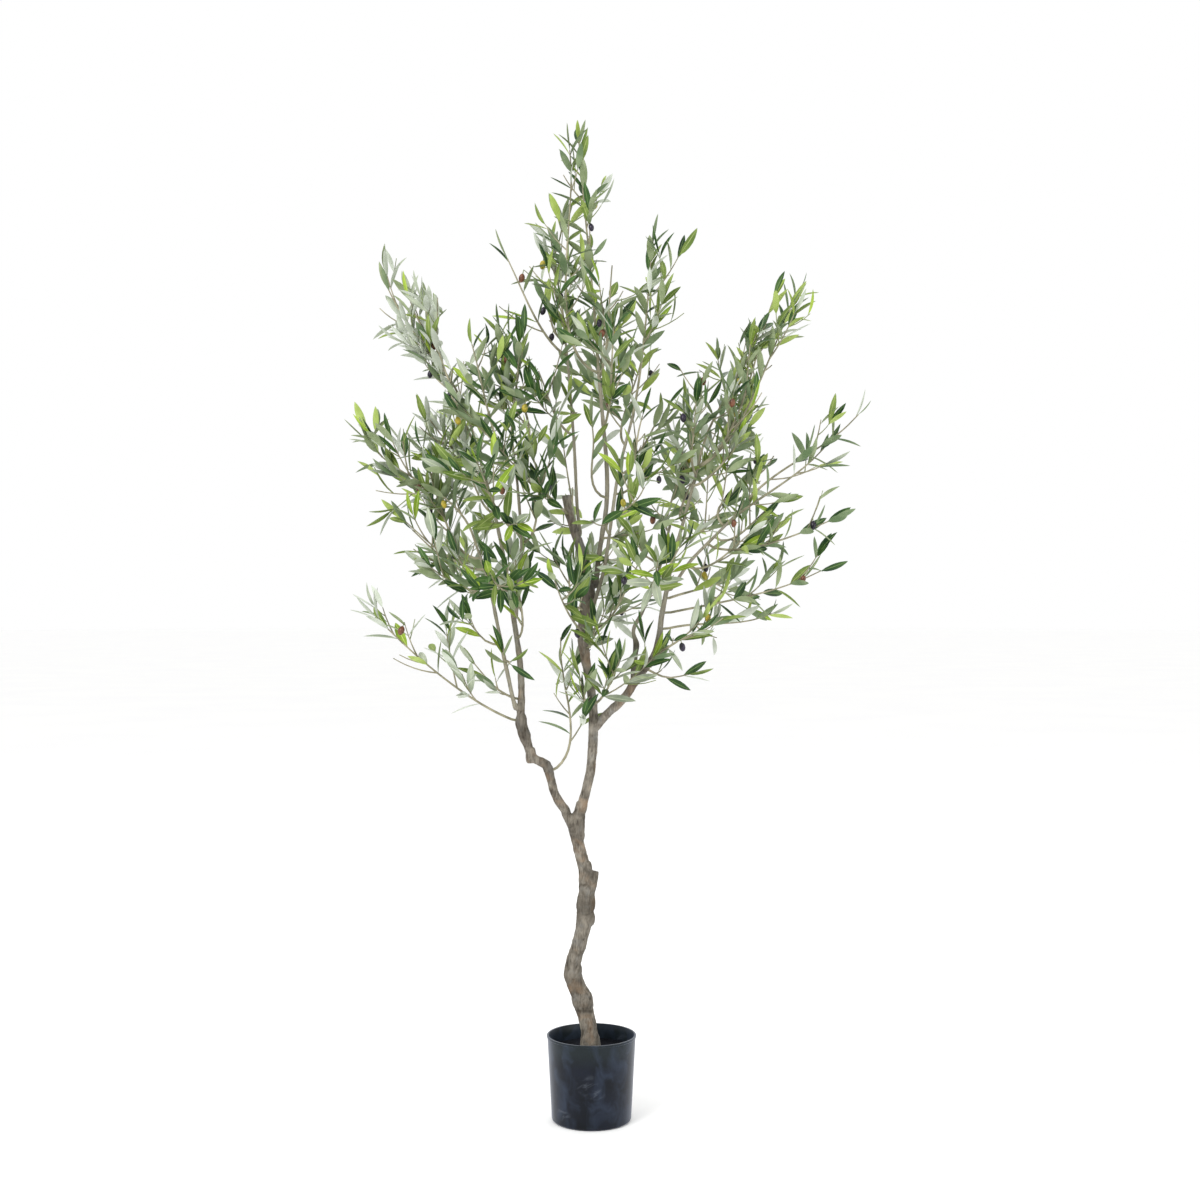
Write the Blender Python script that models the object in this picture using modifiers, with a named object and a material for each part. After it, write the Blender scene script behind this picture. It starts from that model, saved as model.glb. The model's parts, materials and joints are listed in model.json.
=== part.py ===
"""Potted olive tree, artificial, 2.1 m tall, in a thin black grower's pot.

Metres, +Z up. The origin is the middle of the pot's flat underside, and the tree's front faces -Y.
The trunk, the boughs and the stems are tapering tubes that grow from one another's tips or sides.
Each mass of foliage is one spray: a stem, twigs that leave it by a fixed rule, and leaves and olives
fused on. Neighbouring pieces stand CLEARANCE apart.
"""
import math
import random
from dataclasses import dataclass

import bmesh
import bpy
import numpy as np
from mathutils import Matrix, Vector
from mathutils.bvhtree import BVHTree
from mathutils.kdtree import KDTree

UP = Vector((0.0, 0.0, 1.0))
CLEARANCE = 0.0003
MERGE = 0.00001

# Pot: a thin straight-sided cup
POT_HEIGHT = 0.177
POT_RIM_RADIUS = 0.092
POT_FOOT_RADIUS = 0.083
POT_WALL = 0.0030
POT_FLOOR = 0.0040
POT_SIDES = 32
RIM_LIP = 0.0012
RIM_LIP_HEIGHT = 0.0040
FOOT_ROUNDING = 0.0060
FOOT_ROUNDING_STEPS = 3

# Cement fill, and where the trunk's flat cut stands on it
FILL_TOP = 0.147
TRUNK_PLACE = (-0.001, 0.0, FILL_TOP)

# Limbs: the straight start off each seat, the sides of a section, and the fine steps of a path
LEAD_IN = 0.004
RAY_START = 0.1
SHARP_EDGE = math.radians(50.0)
ARM_STEPS = 3
PATH_STEPS = 24
BOUGH_SIDES = 9
BRANCH_SIDES = 8
STEM_SIDES = 5
TWIG_SIDES = 3

# Foliage
GOLDEN_ANGLE = math.radians(137.5)
LEAF_LENGTH = 0.078
LEAF_WIDTH = 0.0220
LEAF_THICKNESS = 0.0018
LEAF_WIDEST = 0.42
LEAF_SPREAD = math.radians(44.0)
LEAF_MARGIN = 0.0010
LEAF_CLEAR = 0.012
SPRAY_STEM_RADIUS = 0.0031
SPRAY_TIP_RADIUS = 0.0019
SPRAY_RINGS = 4
STEM_PULL = 0.24
STEM_START_LIFT = 0.35
STEM_END_LIFT = 0.18
TWIG_RADIUS = 0.0021
TWIG_TIP_RADIUS = 0.0016
TWIG_SPREAD = math.radians(42.0)
TWIG_LIFT = 0.30
TWIGS_PER_SPRAY = 3
FIRST_TWIG = 0.26
LAST_TWIG = 0.68
TWIG_LONGEST = 0.34
TWIG_SHORTEST = 0.15
LEAVES_PER_SPRAY = 15
LEAF_TURNS = 6
LEAF_SINK = 0.004
ROOT_SINK = 0.0006
FIRST_LEAF_ON_STEM = 0.14
FIRST_LEAF_ON_TWIG = 0.20
SPACE_MARGIN = 0.003
SPACE_STEPS = 40
STEM_SEED = 500
TWIG_SEED = 600
OLIVE_LENGTH = 0.020
OLIVE_RADIUS = 0.0072
OLIVE_SHARE = 0.62
OLIVE_CLEAR = 0.004

BARK = ((0.24, 0.20, 0.15, 1.0), 0.85)
BLACK_PLASTIC = ((0.022, 0.026, 0.032, 1.0), 0.42)
CEMENT = ((0.10, 0.095, 0.085, 1.0), 0.95)
LEAF_GREEN = ((0.11, 0.19, 0.06, 1.0), 0.55)


@dataclass(frozen=True)
class Limb:
    """A tapering limb: where it grows from, its bends, its end radii, knots and short side arms.

    A parent's arm is written parent/number. A knot is (share of the length, extra radius,
    half-length). An arm is (share, end point, radius).
    """

    name: str
    parent: str
    share: float
    bends: tuple
    radii: tuple
    sides: int
    rings: int
    knots: tuple = ()
    arms: tuple = ()


@dataclass(frozen=True)
class Spray:
    """A mass of foliage: the limb and the share of its length it leaves from, and its furthest tip."""

    name: str
    limb: str
    share: float
    tip: tuple
    leaves: int = LEAVES_PER_SPRAY
    olive: bool = False


LIMBS = (
    Limb("trunk", "pot_fill", 1.0,
         ((-0.005, 0.002, 0.190), (-0.018, 0.008, 0.246), (-0.038, 0.003, 0.305),
          (-0.019, -0.008, 0.388), (-0.010, 0.002, 0.451), (-0.014, 0.006, 0.521),
          (-0.030, 0.000, 0.603), (-0.018, 0.000, 0.660)),
         (0.0168, 0.0104), BOUGH_SIDES, 22,
         knots=((0.0, 0.0030, 0.020), (0.19, 0.0052, 0.022), (0.29, 0.0026, 0.030),
                (0.58, 0.0046, 0.042), (0.90, 0.0050, 0.024)),
         arms=((0.86, (-0.055, 0.000, 0.643), 0.0100), (0.57, (0.006, -0.004, 0.5145), 0.0095))),
    Limb("central_bough", "trunk", 1.0,
         ((-0.003, 0.005, 0.724), (0.004, 0.012, 0.828), (-0.001, 0.010, 0.895),
          (-0.017, -0.002, 1.000), (-0.008, 0.004, 1.078), (-0.016, 0.010, 1.167),
          (-0.043, 0.012, 1.250), (-0.054, 0.012, 1.303)),
         (0.0100, 0.0088), BOUGH_SIDES, 20,
         knots=((0.66, 0.0068, 0.085),),
         arms=((0.235, (0.024, 0.003, 0.836), 0.0092),)),
    Limb("left_bough_lower", "trunk/0", 1.0,
         ((-0.068, -0.004, 0.663), (-0.078, -0.008, 0.686), (-0.086, -0.013, 0.718),
          (-0.091, -0.014, 0.736)),
         (0.0098, 0.0086), BRANCH_SIDES, 8, knots=((1.0, 0.0018, 0.020),)),
    Limb("left_bough_upper", "left_bough_lower", 1.0,
         ((-0.106, -0.014, 0.748), (-0.124, -0.011, 0.758), (-0.134, -0.009, 0.785),
          (-0.147, -0.005, 0.832), (-0.146, -0.004, 0.880), (-0.150, -0.004, 0.960),
          (-0.167, 0.000, 1.075)),
         (0.0098, 0.0048), BRANCH_SIDES, 18, knots=((0.27, 0.0040, 0.026),)),
    Limb("left_stem", "left_bough_upper", 0.40,
         ((-0.176, -0.032, 0.943), (-0.193, -0.043, 1.030), (-0.213, -0.050, 1.125),
          (-0.237, -0.052, 1.197)),
         (0.0048, 0.0031), STEM_SIDES, 9),
    Limb("right_bough", "central_bough/0", 1.0,
         ((0.053, -0.008, 0.865), (0.073, -0.014, 0.886), (0.087, -0.018, 0.909),
          (0.101, -0.022, 0.930)),
         (0.0091, 0.0086), BRANCH_SIDES, 8, knots=((0.9, 0.0012, 0.014),),
         arms=((0.80, (0.088, -0.024, 0.9415), 0.0060),)),
    Limb("right_inner_bough", "right_bough/0", 1.0,
         ((0.090, -0.026, 0.967), (0.093, -0.028, 0.992), (0.087, -0.026, 1.020),
          (0.104, -0.019, 1.056), (0.134, -0.004, 1.125), (0.166, 0.040, 1.242)),
         (0.0046, 0.0030), STEM_SIDES + 1, 16,
         knots=((0.0, 0.0018, 0.030), (0.15, 0.0020, 0.012))),
    Limb("right_outer_bough", "right_bough", 1.0,
         ((0.123, -0.030, 0.957), (0.137, -0.037, 0.990), (0.145, -0.042, 1.051),
          (0.160, -0.040, 1.129)),
         (0.0086, 0.0043), BRANCH_SIDES, 11),
    Limb("leader_stem", "central_bough", 0.70,
         ((0.016, -0.004, 1.182), (0.031, -0.001, 1.280), (0.032, 0.006, 1.355),
          (0.021, 0.016, 1.490), (0.014, 0.020, 1.575)),
         (0.0056, 0.0038), STEM_SIDES, 11),
    Limb("left_leader_stem", "central_bough", 0.87,
         ((-0.030, 0.034, 1.273), (-0.037, 0.046, 1.411), (-0.049, 0.058, 1.567),
          (-0.057, 0.066, 1.647)),
         (0.0038, 0.0028), STEM_SIDES, 8),
    Limb("right_leader_stem", "central_bough", 0.62,
         ((0.024, -0.032, 1.139), (0.045, -0.036, 1.276), (0.055, -0.034, 1.342),
          (0.086, -0.028, 1.467)),
         (0.0042, 0.0032), STEM_SIDES, 9),
    Limb("left_high_stem", "left_bough_upper", 1.0,
         ((-0.177, 0.010, 1.136), (-0.207, 0.050, 1.274), (-0.252, 0.085, 1.432)),
         (0.0046, 0.0032), STEM_SIDES, 8),
    Limb("left_mid_stem", "left_bough_upper", 0.93,
         ((-0.148, -0.032, 1.117), (-0.144, -0.042, 1.191), (-0.154, -0.042, 1.335),
          (-0.162, -0.034, 1.394)),
         (0.0040, 0.0030), STEM_SIDES, 8),
    Limb("right_high_stem", "right_outer_bough", 1.0,
         ((0.175, -0.020, 1.191), (0.193, 0.000, 1.251), (0.226, 0.035, 1.372)),
         (0.0042, 0.0032), STEM_SIDES, 7),
    Limb("right_far_stem", "right_outer_bough", 0.90,
         ((0.204, -0.058, 1.164), (0.248, -0.052, 1.209), (0.296, -0.040, 1.257)),
         (0.0038, 0.0030), STEM_SIDES, 7),
)

SPRAYS = (
    Spray("leader_top", "leader_stem", 1.0, (-0.031, 0.030, 2.109), 19, True),
    Spray("leader_mid", "leader_stem", 0.95, (0.048, -0.050, 1.833), 14),
    Spray("leader_front", "leader_stem", 0.72, (0.049, -0.220, 1.670)),
    Spray("leader_back", "leader_stem", 0.86, (-0.009, 0.280, 1.749)),
    Spray("left_leader_top", "left_leader_stem", 1.0, (-0.095, 0.120, 1.920), 18, True),
    Spray("left_leader_side", "left_leader_stem", 0.90, (-0.203, 0.020, 1.856), 18),
    Spray("left_leader_low", "left_leader_stem", 0.50, (-0.130, -0.060, 1.607), 14, True),
    Spray("right_leader_top", "right_leader_stem", 1.0, (0.131, -0.040, 1.874), 19),
    Spray("right_leader_low", "right_leader_stem", 0.78, (0.178, 0.030, 1.530), 14),
    Spray("right_leader_back", "right_leader_stem", 0.85, (0.121, 0.260, 1.690)),
    Spray("left_high_top", "left_high_stem", 1.0, (-0.467, 0.140, 1.813), 19, True),
    Spray("left_high_side", "left_high_stem", 0.72, (-0.377, 0.020, 1.520)),
    Spray("left_mid_top", "left_mid_stem", 1.0, (-0.135, -0.040, 1.688), 15, True),
    Spray("left_mid_side", "left_mid_stem", 0.88, (-0.261, -0.060, 1.666)),
    Spray("left_side", "left_stem", 1.0, (-0.494, -0.080, 1.455), 19, True),
    Spray("left_low_side", "left_stem", 0.70, (-0.371, -0.140, 1.188)),
    Spray("left_low_twig", "left_bough_upper", 0.33, (-0.480, -0.080, 1.090), 10),
    Spray("left_front", "left_mid_stem", 0.50, (-0.229, -0.360, 1.383), 16, True),
    Spray("left_front_low", "left_mid_stem", 0.15, (-0.206, -0.320, 1.159), 15),
    Spray("left_back", "left_high_stem", 0.55, (-0.338, 0.420, 1.557)),
    Spray("left_back_low", "left_high_stem", 0.15, (-0.322, 0.340, 1.210), 15, True),
    Spray("centre_front", "central_bough", 0.94, (-0.221, -0.220, 1.439), 15, True),
    Spray("centre_low_twig", "left_bough_lower", 0.90, (-0.063, 0.080, 1.062), 10, True),
    Spray("centre_right_low", "central_bough", 0.32, (0.074, -0.150, 1.008), 10),
    Spray("centre_back", "central_bough", 0.82, (-0.075, 0.400, 1.503)),
    Spray("centre_back_low", "central_bough", 0.60, (0.022, 0.370, 1.222)),
    Spray("centre_front_low", "central_bough", 0.55, (-0.081, -0.320, 1.159)),
    Spray("right_front", "right_leader_stem", 0.40, (0.115, -0.350, 1.327), 16, True),
    Spray("right_front_low", "right_inner_bough", 0.45, (0.131, -0.340, 1.187), 15),
    Spray("right_high_top", "right_high_stem", 1.0, (0.462, 0.080, 1.788), 19, True),
    Spray("right_high_inner", "right_high_stem", 0.90, (0.235, 0.000, 1.601), 15, True),
    Spray("right_far", "right_far_stem", 1.0, (0.591, -0.040, 1.511), 19),
    Spray("right_mid", "right_far_stem", 0.85, (0.415, 0.120, 1.438), 14),
    Spray("right_side", "right_far_stem", 0.60, (0.533, -0.160, 1.267), 16, True),
    Spray("right_low", "right_outer_bough", 0.66, (0.524, -0.060, 1.170), 16, True),
    Spray("right_low_small", "right_outer_bough", 0.50, (0.434, 0.080, 1.075), 12),
    Spray("right_bottom", "right_outer_bough", 0.25, (0.244, -0.220, 1.083), 14, True),
    Spray("right_bottom_hang", "right_outer_bough", 0.08, (0.258, -0.030, 0.943), 10, True),
    Spray("right_back", "right_high_stem", 0.50, (0.310, 0.420, 1.552)),
    Spray("right_back_low", "right_inner_bough", 0.97, (0.211, 0.360, 1.452)),
    Spray("right_back_far", "right_outer_bough", 0.80, (0.357, 0.340, 1.175), 15, True),
)


def clear_scene():
    """Remove every object that the opened file holds."""
    for old in list(bpy.data.objects):
        bpy.data.objects.remove(old, do_unlink=True)


def new_collection(name):
    """A collection linked to the scene."""
    made = bpy.data.collections.new(name)
    bpy.context.scene.collection.children.link(made)
    return made


def new_material(name, finish):
    """A Principled material from a (colour, roughness) finish."""
    made = bpy.data.materials.new(name)
    made.use_nodes = True
    shader = made.node_tree.nodes["Principled BSDF"]
    shader.inputs["Base Color"].default_value = finish[0]
    shader.inputs["Roughness"].default_value = finish[1]
    made.diffuse_color = finish[0]
    return made


def add_object(name, mesh, collection, material=None):
    """Link a mesh to a collection as a new object."""
    made = bpy.data.objects.new(name, mesh)
    collection.objects.link(made)
    if material is not None:
        mesh.materials.clear()
        mesh.materials.append(material)
    return made


def turned(name, profile, collection, material):
    """A solid turned from an (radius, height) profile that runs down its outer side."""
    mesh = bpy.data.meshes.new(name)
    points = [(radius, 0.0, height) for radius, height in profile]
    edges = [(i, i + 1) for i in range(len(points) - 1)]
    mesh.from_pydata(points, edges, [])
    made = add_object(name, mesh, collection, material)
    screw = made.modifiers.new("turn", "SCREW")
    screw.axis = "Z"
    screw.steps = POT_SIDES
    screw.render_steps = POT_SIDES
    screw.use_smooth_shade = True
    screw.use_merge_vertices = True
    screw.merge_threshold = MERGE
    return made


def pot_inner_radius(height):
    """The radius of the pot's inside at a height."""
    share = height / POT_HEIGHT
    return POT_FOOT_RADIUS + (POT_RIM_RADIUS - POT_FOOT_RADIUS) * share - POT_WALL


def build_pot(collection, material):
    """The cup: floor, inner wall, lipped rim, outer wall and rounded foot."""
    profile = [(0.0, POT_FLOOR), (pot_inner_radius(POT_FLOOR), POT_FLOOR),
               (pot_inner_radius(POT_HEIGHT), POT_HEIGHT),
               (POT_RIM_RADIUS + RIM_LIP, POT_HEIGHT),
               (POT_RIM_RADIUS + RIM_LIP, POT_HEIGHT - RIM_LIP_HEIGHT),
               (POT_RIM_RADIUS, POT_HEIGHT - RIM_LIP_HEIGHT - RIM_LIP)]
    for step in range(FOOT_ROUNDING_STEPS + 1):
        angle = 0.5 * math.pi * step / FOOT_ROUNDING_STEPS
        profile.append((POT_FOOT_RADIUS - FOOT_ROUNDING * (1.0 - math.cos(angle)),
                        FOOT_ROUNDING * (1.0 - math.sin(angle))))
    profile.append((0.0, 0.0))
    turned("pot", profile, collection, material)


def build_fill(collection, material):
    """The cement inside the pot, flat on top."""
    low = POT_FLOOR + CLEARANCE
    profile = [(0.0, FILL_TOP), (pot_inner_radius(FILL_TOP) - CLEARANCE, FILL_TOP),
               (pot_inner_radius(low) - CLEARANCE, low), (0.0, low)]
    turned("pot_fill", profile, collection, material)


def smooth_path(points):
    """A centripetal Catmull-Rom curve through the points, as a dense list of vectors."""
    first = points[0] * 2.0 - points[1]
    last = points[-1] * 2.0 - points[-2]
    ends = [first, *points, last]
    dense = []
    for a, b, c, d in zip(ends, ends[1:], ends[2:], ends[3:]):
        t1 = math.sqrt((b - a).length)
        t2 = t1 + math.sqrt((c - b).length)
        t3 = t2 + math.sqrt((d - c).length)
        for step in range(PATH_STEPS):
            t = t1 + (t2 - t1) * step / PATH_STEPS
            ab = a.lerp(b, t / t1)
            bc = b.lerp(c, (t - t1) / (t2 - t1))
            cd = c.lerp(d, (t - t2) / (t3 - t2))
            abc = ab.lerp(bc, t / t2)
            bcd = bc.lerp(cd, (t - t1) / (t3 - t1))
            dense.append(abc.lerp(bcd, (t - t1) / (t2 - t1)))
    dense.append(points[-1].copy())
    return dense


class Axis:
    """A limb's centre line, read by its share of the length."""

    def __init__(self, points):
        self.points = points
        steps = [(b - a).length for a, b in zip(points, points[1:])]
        self.reach = np.concatenate(([0.0], np.cumsum(steps)))
        self.length = float(self.reach[-1])

    def at(self, share):
        """The point and the direction at a share of the length."""
        distance = min(max(share, 0.0), 1.0) * self.length
        index = int(np.searchsorted(self.reach, distance, side="right")) - 1
        index = min(max(index, 0), len(self.points) - 2)
        a, b = self.points[index], self.points[index + 1]
        span = self.reach[index + 1] - self.reach[index]
        return a.lerp(b, (distance - self.reach[index]) / span), (b - a).normalized()

    def rings(self, count):
        """Evenly spaced points along the line, its ends included."""
        return [self.at(step / (count - 1))[0] for step in range(count)]


def bevel_ring(sides):
    """A unit polygon that a curve carries along as its section."""
    name = "section_%d" % sides
    if name in bpy.data.objects:
        return bpy.data.objects[name]
    curve = bpy.data.curves.new(name, "CURVE")
    spline = curve.splines.new("POLY")
    spline.points.add(sides - 1)
    for index, point in enumerate(spline.points):
        angle = 2.0 * math.pi * index / sides
        point.co = (math.cos(angle), math.sin(angle), 0.0, 1.0)
    spline.use_cyclic_u = True
    made = bpy.data.objects.new(name, curve)
    made.hide_render = True
    made.display_type = "WIRE"
    bpy.data.collections["guides"].objects.link(made)
    return made


def tube_mesh(name, points, radii, sides):
    """The mesh of a capped tube along the points, welded shut."""
    curve = bpy.data.curves.new(name, "CURVE")
    curve.dimensions = "3D"
    curve.bevel_mode = "OBJECT"
    curve.bevel_object = bevel_ring(sides)
    curve.use_fill_caps = True
    spline = curve.splines.new("POLY")
    spline.points.add(len(points) - 1)
    for point, place, radius in zip(spline.points, points, radii):
        point.co = (*place, 1.0)
        point.radius = radius
    guide = bpy.data.objects.new(name, curve)
    bpy.data.collections["guides"].objects.link(guide)
    depsgraph = bpy.context.evaluated_depsgraph_get()
    mesh = bpy.data.meshes.new_from_object(guide.evaluated_get(depsgraph))
    bpy.data.objects.remove(guide, do_unlink=True)
    bpy.data.curves.remove(curve)
    bm = bmesh.new()
    bm.from_mesh(mesh)
    bmesh.ops.remove_doubles(bm, verts=bm.verts, dist=MERGE)
    bmesh.ops.recalc_face_normals(bm, faces=bm.faces)
    bm.to_mesh(mesh)
    bm.free()
    return mesh


def largest_body(mesh):
    """Keep the biggest closed body: loose scraps go, and a sealed hollow is filled."""
    bm = bmesh.new()
    bm.from_mesh(mesh)
    bmesh.ops.triangulate(bm, faces=bm.faces)
    unseen = set(bm.verts)
    bodies = []
    while unseen:
        body = {unseen.pop()}
        edge_of_body = list(body)
        while edge_of_body:
            vert = edge_of_body.pop()
            for edge in vert.link_edges:
                other = edge.other_vert(vert)
                if other in unseen:
                    unseen.remove(other)
                    body.add(other)
                    edge_of_body.append(other)
        bodies.append(body)
    bodies.sort(key=len)
    scraps = [vert for body in bodies[:-1] for vert in body]
    bmesh.ops.delete(bm, geom=scraps, context="VERTS")
    bm.to_mesh(mesh)
    bm.free()


def fuse(made, others):
    """Join meshes to an object with one Boolean union on a collection of them."""
    joined = new_collection("joined")
    for index, mesh in enumerate(others):
        add_object("joined_%d" % index, mesh, joined)
    union = made.modifiers.new("union", "BOOLEAN")
    union.operation = "UNION"
    union.operand_type = "COLLECTION"
    union.collection = joined
    union.solver = "EXACT"
    depsgraph = bpy.context.evaluated_depsgraph_get()
    mesh = bpy.data.meshes.new_from_object(made.evaluated_get(depsgraph))
    made.modifiers.clear()
    made.data = mesh
    for old in list(joined.objects):
        bpy.data.objects.remove(old, do_unlink=True)
    bpy.data.collections.remove(joined)
    largest_body(mesh)


def body_tree(mesh):
    """A search tree over a mesh's faces."""
    points = [vert.co.copy() for vert in mesh.vertices]
    return BVHTree.FromPolygons(points, [tuple(face.vertices) for face in mesh.polygons])


class Seat:
    """Where a limb or spray starts: a flat place on its parent, and the way it faces."""

    def __init__(self, place, facing):
        self.place = place + facing * CLEARANCE
        self.facing = facing

    def lead(self):
        """The first two points of what grows here, straight off the seat."""
        return [self.place, self.place + self.facing * LEAD_IN]


class Tree:
    """The limbs grown so far: their centre lines and their meshes."""

    def __init__(self, collection, material):
        self.collection = collection
        self.material = material
        self.axes = {}
        self.trees = {}

    def seat(self, parent, share, toward):
        """A seat at a limb's tip, or on the facet of its side that looks toward a point."""
        if parent == "pot_fill":
            return Seat(Vector(TRUNK_PLACE), UP)
        axis = self.axes[parent]
        place, direction = axis.at(share)
        if share >= 1.0:
            return Seat(axis.points[-1], direction)
        side = toward - place
        side = (side - direction * side.dot(direction)).normalized()
        outside = place + side * RAY_START
        hit, normal, _, _ = self.trees[parent].ray_cast(outside, -side)
        return Seat(hit, normal)

    def grow(self, limb):
        """Build one limb with its knots and arms."""
        bends = [Vector(bend) for bend in limb.bends]
        lead = self.seat(limb.parent, limb.share, bends[0]).lead()
        axis = Axis(smooth_path(lead + bends))
        rings = lead + [ring for ring in axis.rings(limb.rings) if (ring - lead[0]).length > 2.0 * LEAD_IN]
        radii = [self.radius(limb, axis, place) for place in rings]
        made = add_object(limb.name, tube_mesh(limb.name, rings, radii, limb.sides),
                          self.collection, self.material)
        arms = []
        for number, (share, end, radius) in enumerate(limb.arms):
            start, _ = axis.at(share)
            arm = [start.lerp(Vector(end), step / ARM_STEPS) for step in range(ARM_STEPS + 1)]
            arms.append(tube_mesh(limb.name, arm, [radius] * len(arm), BRANCH_SIDES))
            self.axes["%s/%d" % (limb.name, number)] = Axis(arm)
        if arms:
            fuse(made, arms)
        self.axes[limb.name] = Axis(rings)
        self.trees[limb.name] = body_tree(made.data)
        made.data.shade_smooth()
        made.data.set_sharp_from_angle(angle=SHARP_EDGE)

    @staticmethod
    def radius(limb, axis, place):
        """The limb's radius at a point of its centre line: an even taper plus its knots."""
        nearest = min(range(len(axis.points)), key=lambda i: (axis.points[i] - place).length)
        share = axis.reach[nearest] / axis.length
        radius = limb.radii[0] + (limb.radii[1] - limb.radii[0]) * share
        for where, swelling, half in limb.knots:
            radius += swelling * math.exp(-((share - where) * axis.length / half) ** 2)
        return radius


def leaf_mesh():
    """A leaf one unit long, along +Z from its root: flat below, with a raised midrib."""
    bm = bmesh.new()
    bmesh.ops.create_cone(bm, cap_ends=True, segments=3, radius1=1.0, radius2=0.0, depth=1.0)
    bmesh.ops.remove_doubles(bm, verts=bm.verts, dist=MERGE)
    base = [face for face in bm.faces if all(vert.co.z < 0.0 for vert in face.verts)]
    root = bmesh.ops.poke(bm, faces=base)["verts"][0]
    ring = [vert for vert in bm.verts if vert is not root and vert.co.z < 0.0]
    tip = [vert for vert in bm.verts if vert.co.z > 0.0][0]
    across = max(abs(vert.co.x) for vert in ring)
    low = min(vert.co.y for vert in ring)
    high = max(vert.co.y for vert in ring)
    for vert in ring:
        vert.co.x *= 0.5 / across
        vert.co.y = (vert.co.y - low) / (high - low) - 0.5
        vert.co.z = LEAF_WIDEST
    root.co = (0.0, 0.0, 0.0)
    tip.co = (0.0, -0.5, 1.0)
    bmesh.ops.recalc_face_normals(bm, faces=bm.faces)
    mesh = bpy.data.meshes.new("leaf")
    bm.to_mesh(mesh)
    bm.free()
    return mesh


def olive_mesh():
    """An olive one unit long, along +Z from its stalk end."""
    bm = bmesh.new()
    bmesh.ops.create_uvsphere(bm, u_segments=6, v_segments=4, radius=0.5)
    bmesh.ops.translate(bm, verts=bm.verts, vec=(0.0, 0.0, 0.5))
    mesh = bpy.data.meshes.new("olive")
    bm.to_mesh(mesh)
    bm.free()
    return mesh


def placed(pattern, matrix):
    """A copy of a pattern mesh, moved by a matrix."""
    mesh = pattern.copy()
    mesh.transform(matrix)
    return mesh


def pointing(root, along, face, size):
    """A matrix that sets a unit shape at a root, along a direction, with its face outward."""
    across = face.cross(along).normalized()
    face = along.cross(across).normalized()
    turn = Matrix((across, face, along)).transposed()
    scale = Matrix.Diagonal((*size, 1.0))
    return Matrix.Translation(root) @ turn.to_4x4() @ scale


def around(direction, angle):
    """The unit vector square to a direction, turned about it by an angle."""
    level = UP if abs(direction.z) < 0.9 else Vector((1.0, 0.0, 0.0))
    first = direction.cross(level).normalized()
    second = direction.cross(first)
    return first * math.cos(angle) + second * math.sin(angle)


def stem_axis(seat, tip, leaf_length):
    """A spray's stem: straight off its seat, then one sweep that its last leaf carries to the tip."""
    start, turn = seat.lead()
    run = tip - turn
    last_way = (run.normalized() + UP * STEM_END_LIFT).normalized()
    last = tip - last_way * leaf_length
    early = turn + (seat.facing + UP * STEM_START_LIFT) * STEM_PULL * run.length
    late = last - last_way * STEM_PULL * run.length
    points = [start]
    for step in range(PATH_STEPS + 1):
        t = step / PATH_STEPS
        points.append(turn * (1 - t) ** 3 + early * 3 * t * (1 - t) ** 2
                      + late * 3 * t * t * (1 - t) + last * t ** 3)
    return Axis(points)


def twig_axes(stem, seed):
    """The twigs of one spray: each leaves the stem a golden angle on from the last, and shortens."""
    dice = random.Random(seed)
    roll = dice.uniform(0.0, 2.0 * math.pi)
    twigs = []
    for number in range(TWIGS_PER_SPRAY):
        share = FIRST_TWIG + (LAST_TWIG - FIRST_TWIG) * number / (TWIGS_PER_SPRAY - 1)
        share += dice.uniform(-0.03, 0.03)
        root, direction = stem.at(share)
        side = around(direction, roll + number * GOLDEN_ANGLE)
        spread = TWIG_SPREAD + dice.uniform(-0.12, 0.12)
        way = direction * math.cos(spread) + side * math.sin(spread)
        fall = TWIG_LONGEST + (TWIG_SHORTEST - TWIG_LONGEST) * share
        length = stem.length * fall * dice.uniform(0.85, 1.15)
        twigs.append(Axis([root, root + (way + UP * TWIG_LIFT).normalized() * length]))
    return twigs


def leaf_stations(axis, first, spacing, seed):
    """Places for leaves on an axis: one at its tip, then one at each spacing down to a first share.

    Each station is a list of (root, direction, face): the place the rule gives, then turns of it.
    """
    dice = random.Random(seed)
    end, direction = axis.at(1.0)
    roll = dice.uniform(0.0, math.pi)
    stations = [[(end - direction * LEAF_SINK, direction, around(direction, roll))]]
    count = int(axis.length * (1.0 - first) / spacing)
    for number in range(count):
        point, direction = axis.at(1.0 - (number + 0.5) * spacing / axis.length)
        spread = LEAF_SPREAD + dice.uniform(-0.15, 0.20)
        turns = []
        for turn in range(LEAF_TURNS):
            angle = roll + number * GOLDEN_ANGLE + turn * 2.0 * math.pi / LEAF_TURNS
            side = around(direction, angle)
            along = direction * math.cos(spread) + side * math.sin(spread)
            face = direction * math.sin(spread) - side * math.cos(spread)
            turns.append((point - along * ROOT_SINK, along, face))
        stations.append(turns)
    return stations


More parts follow.
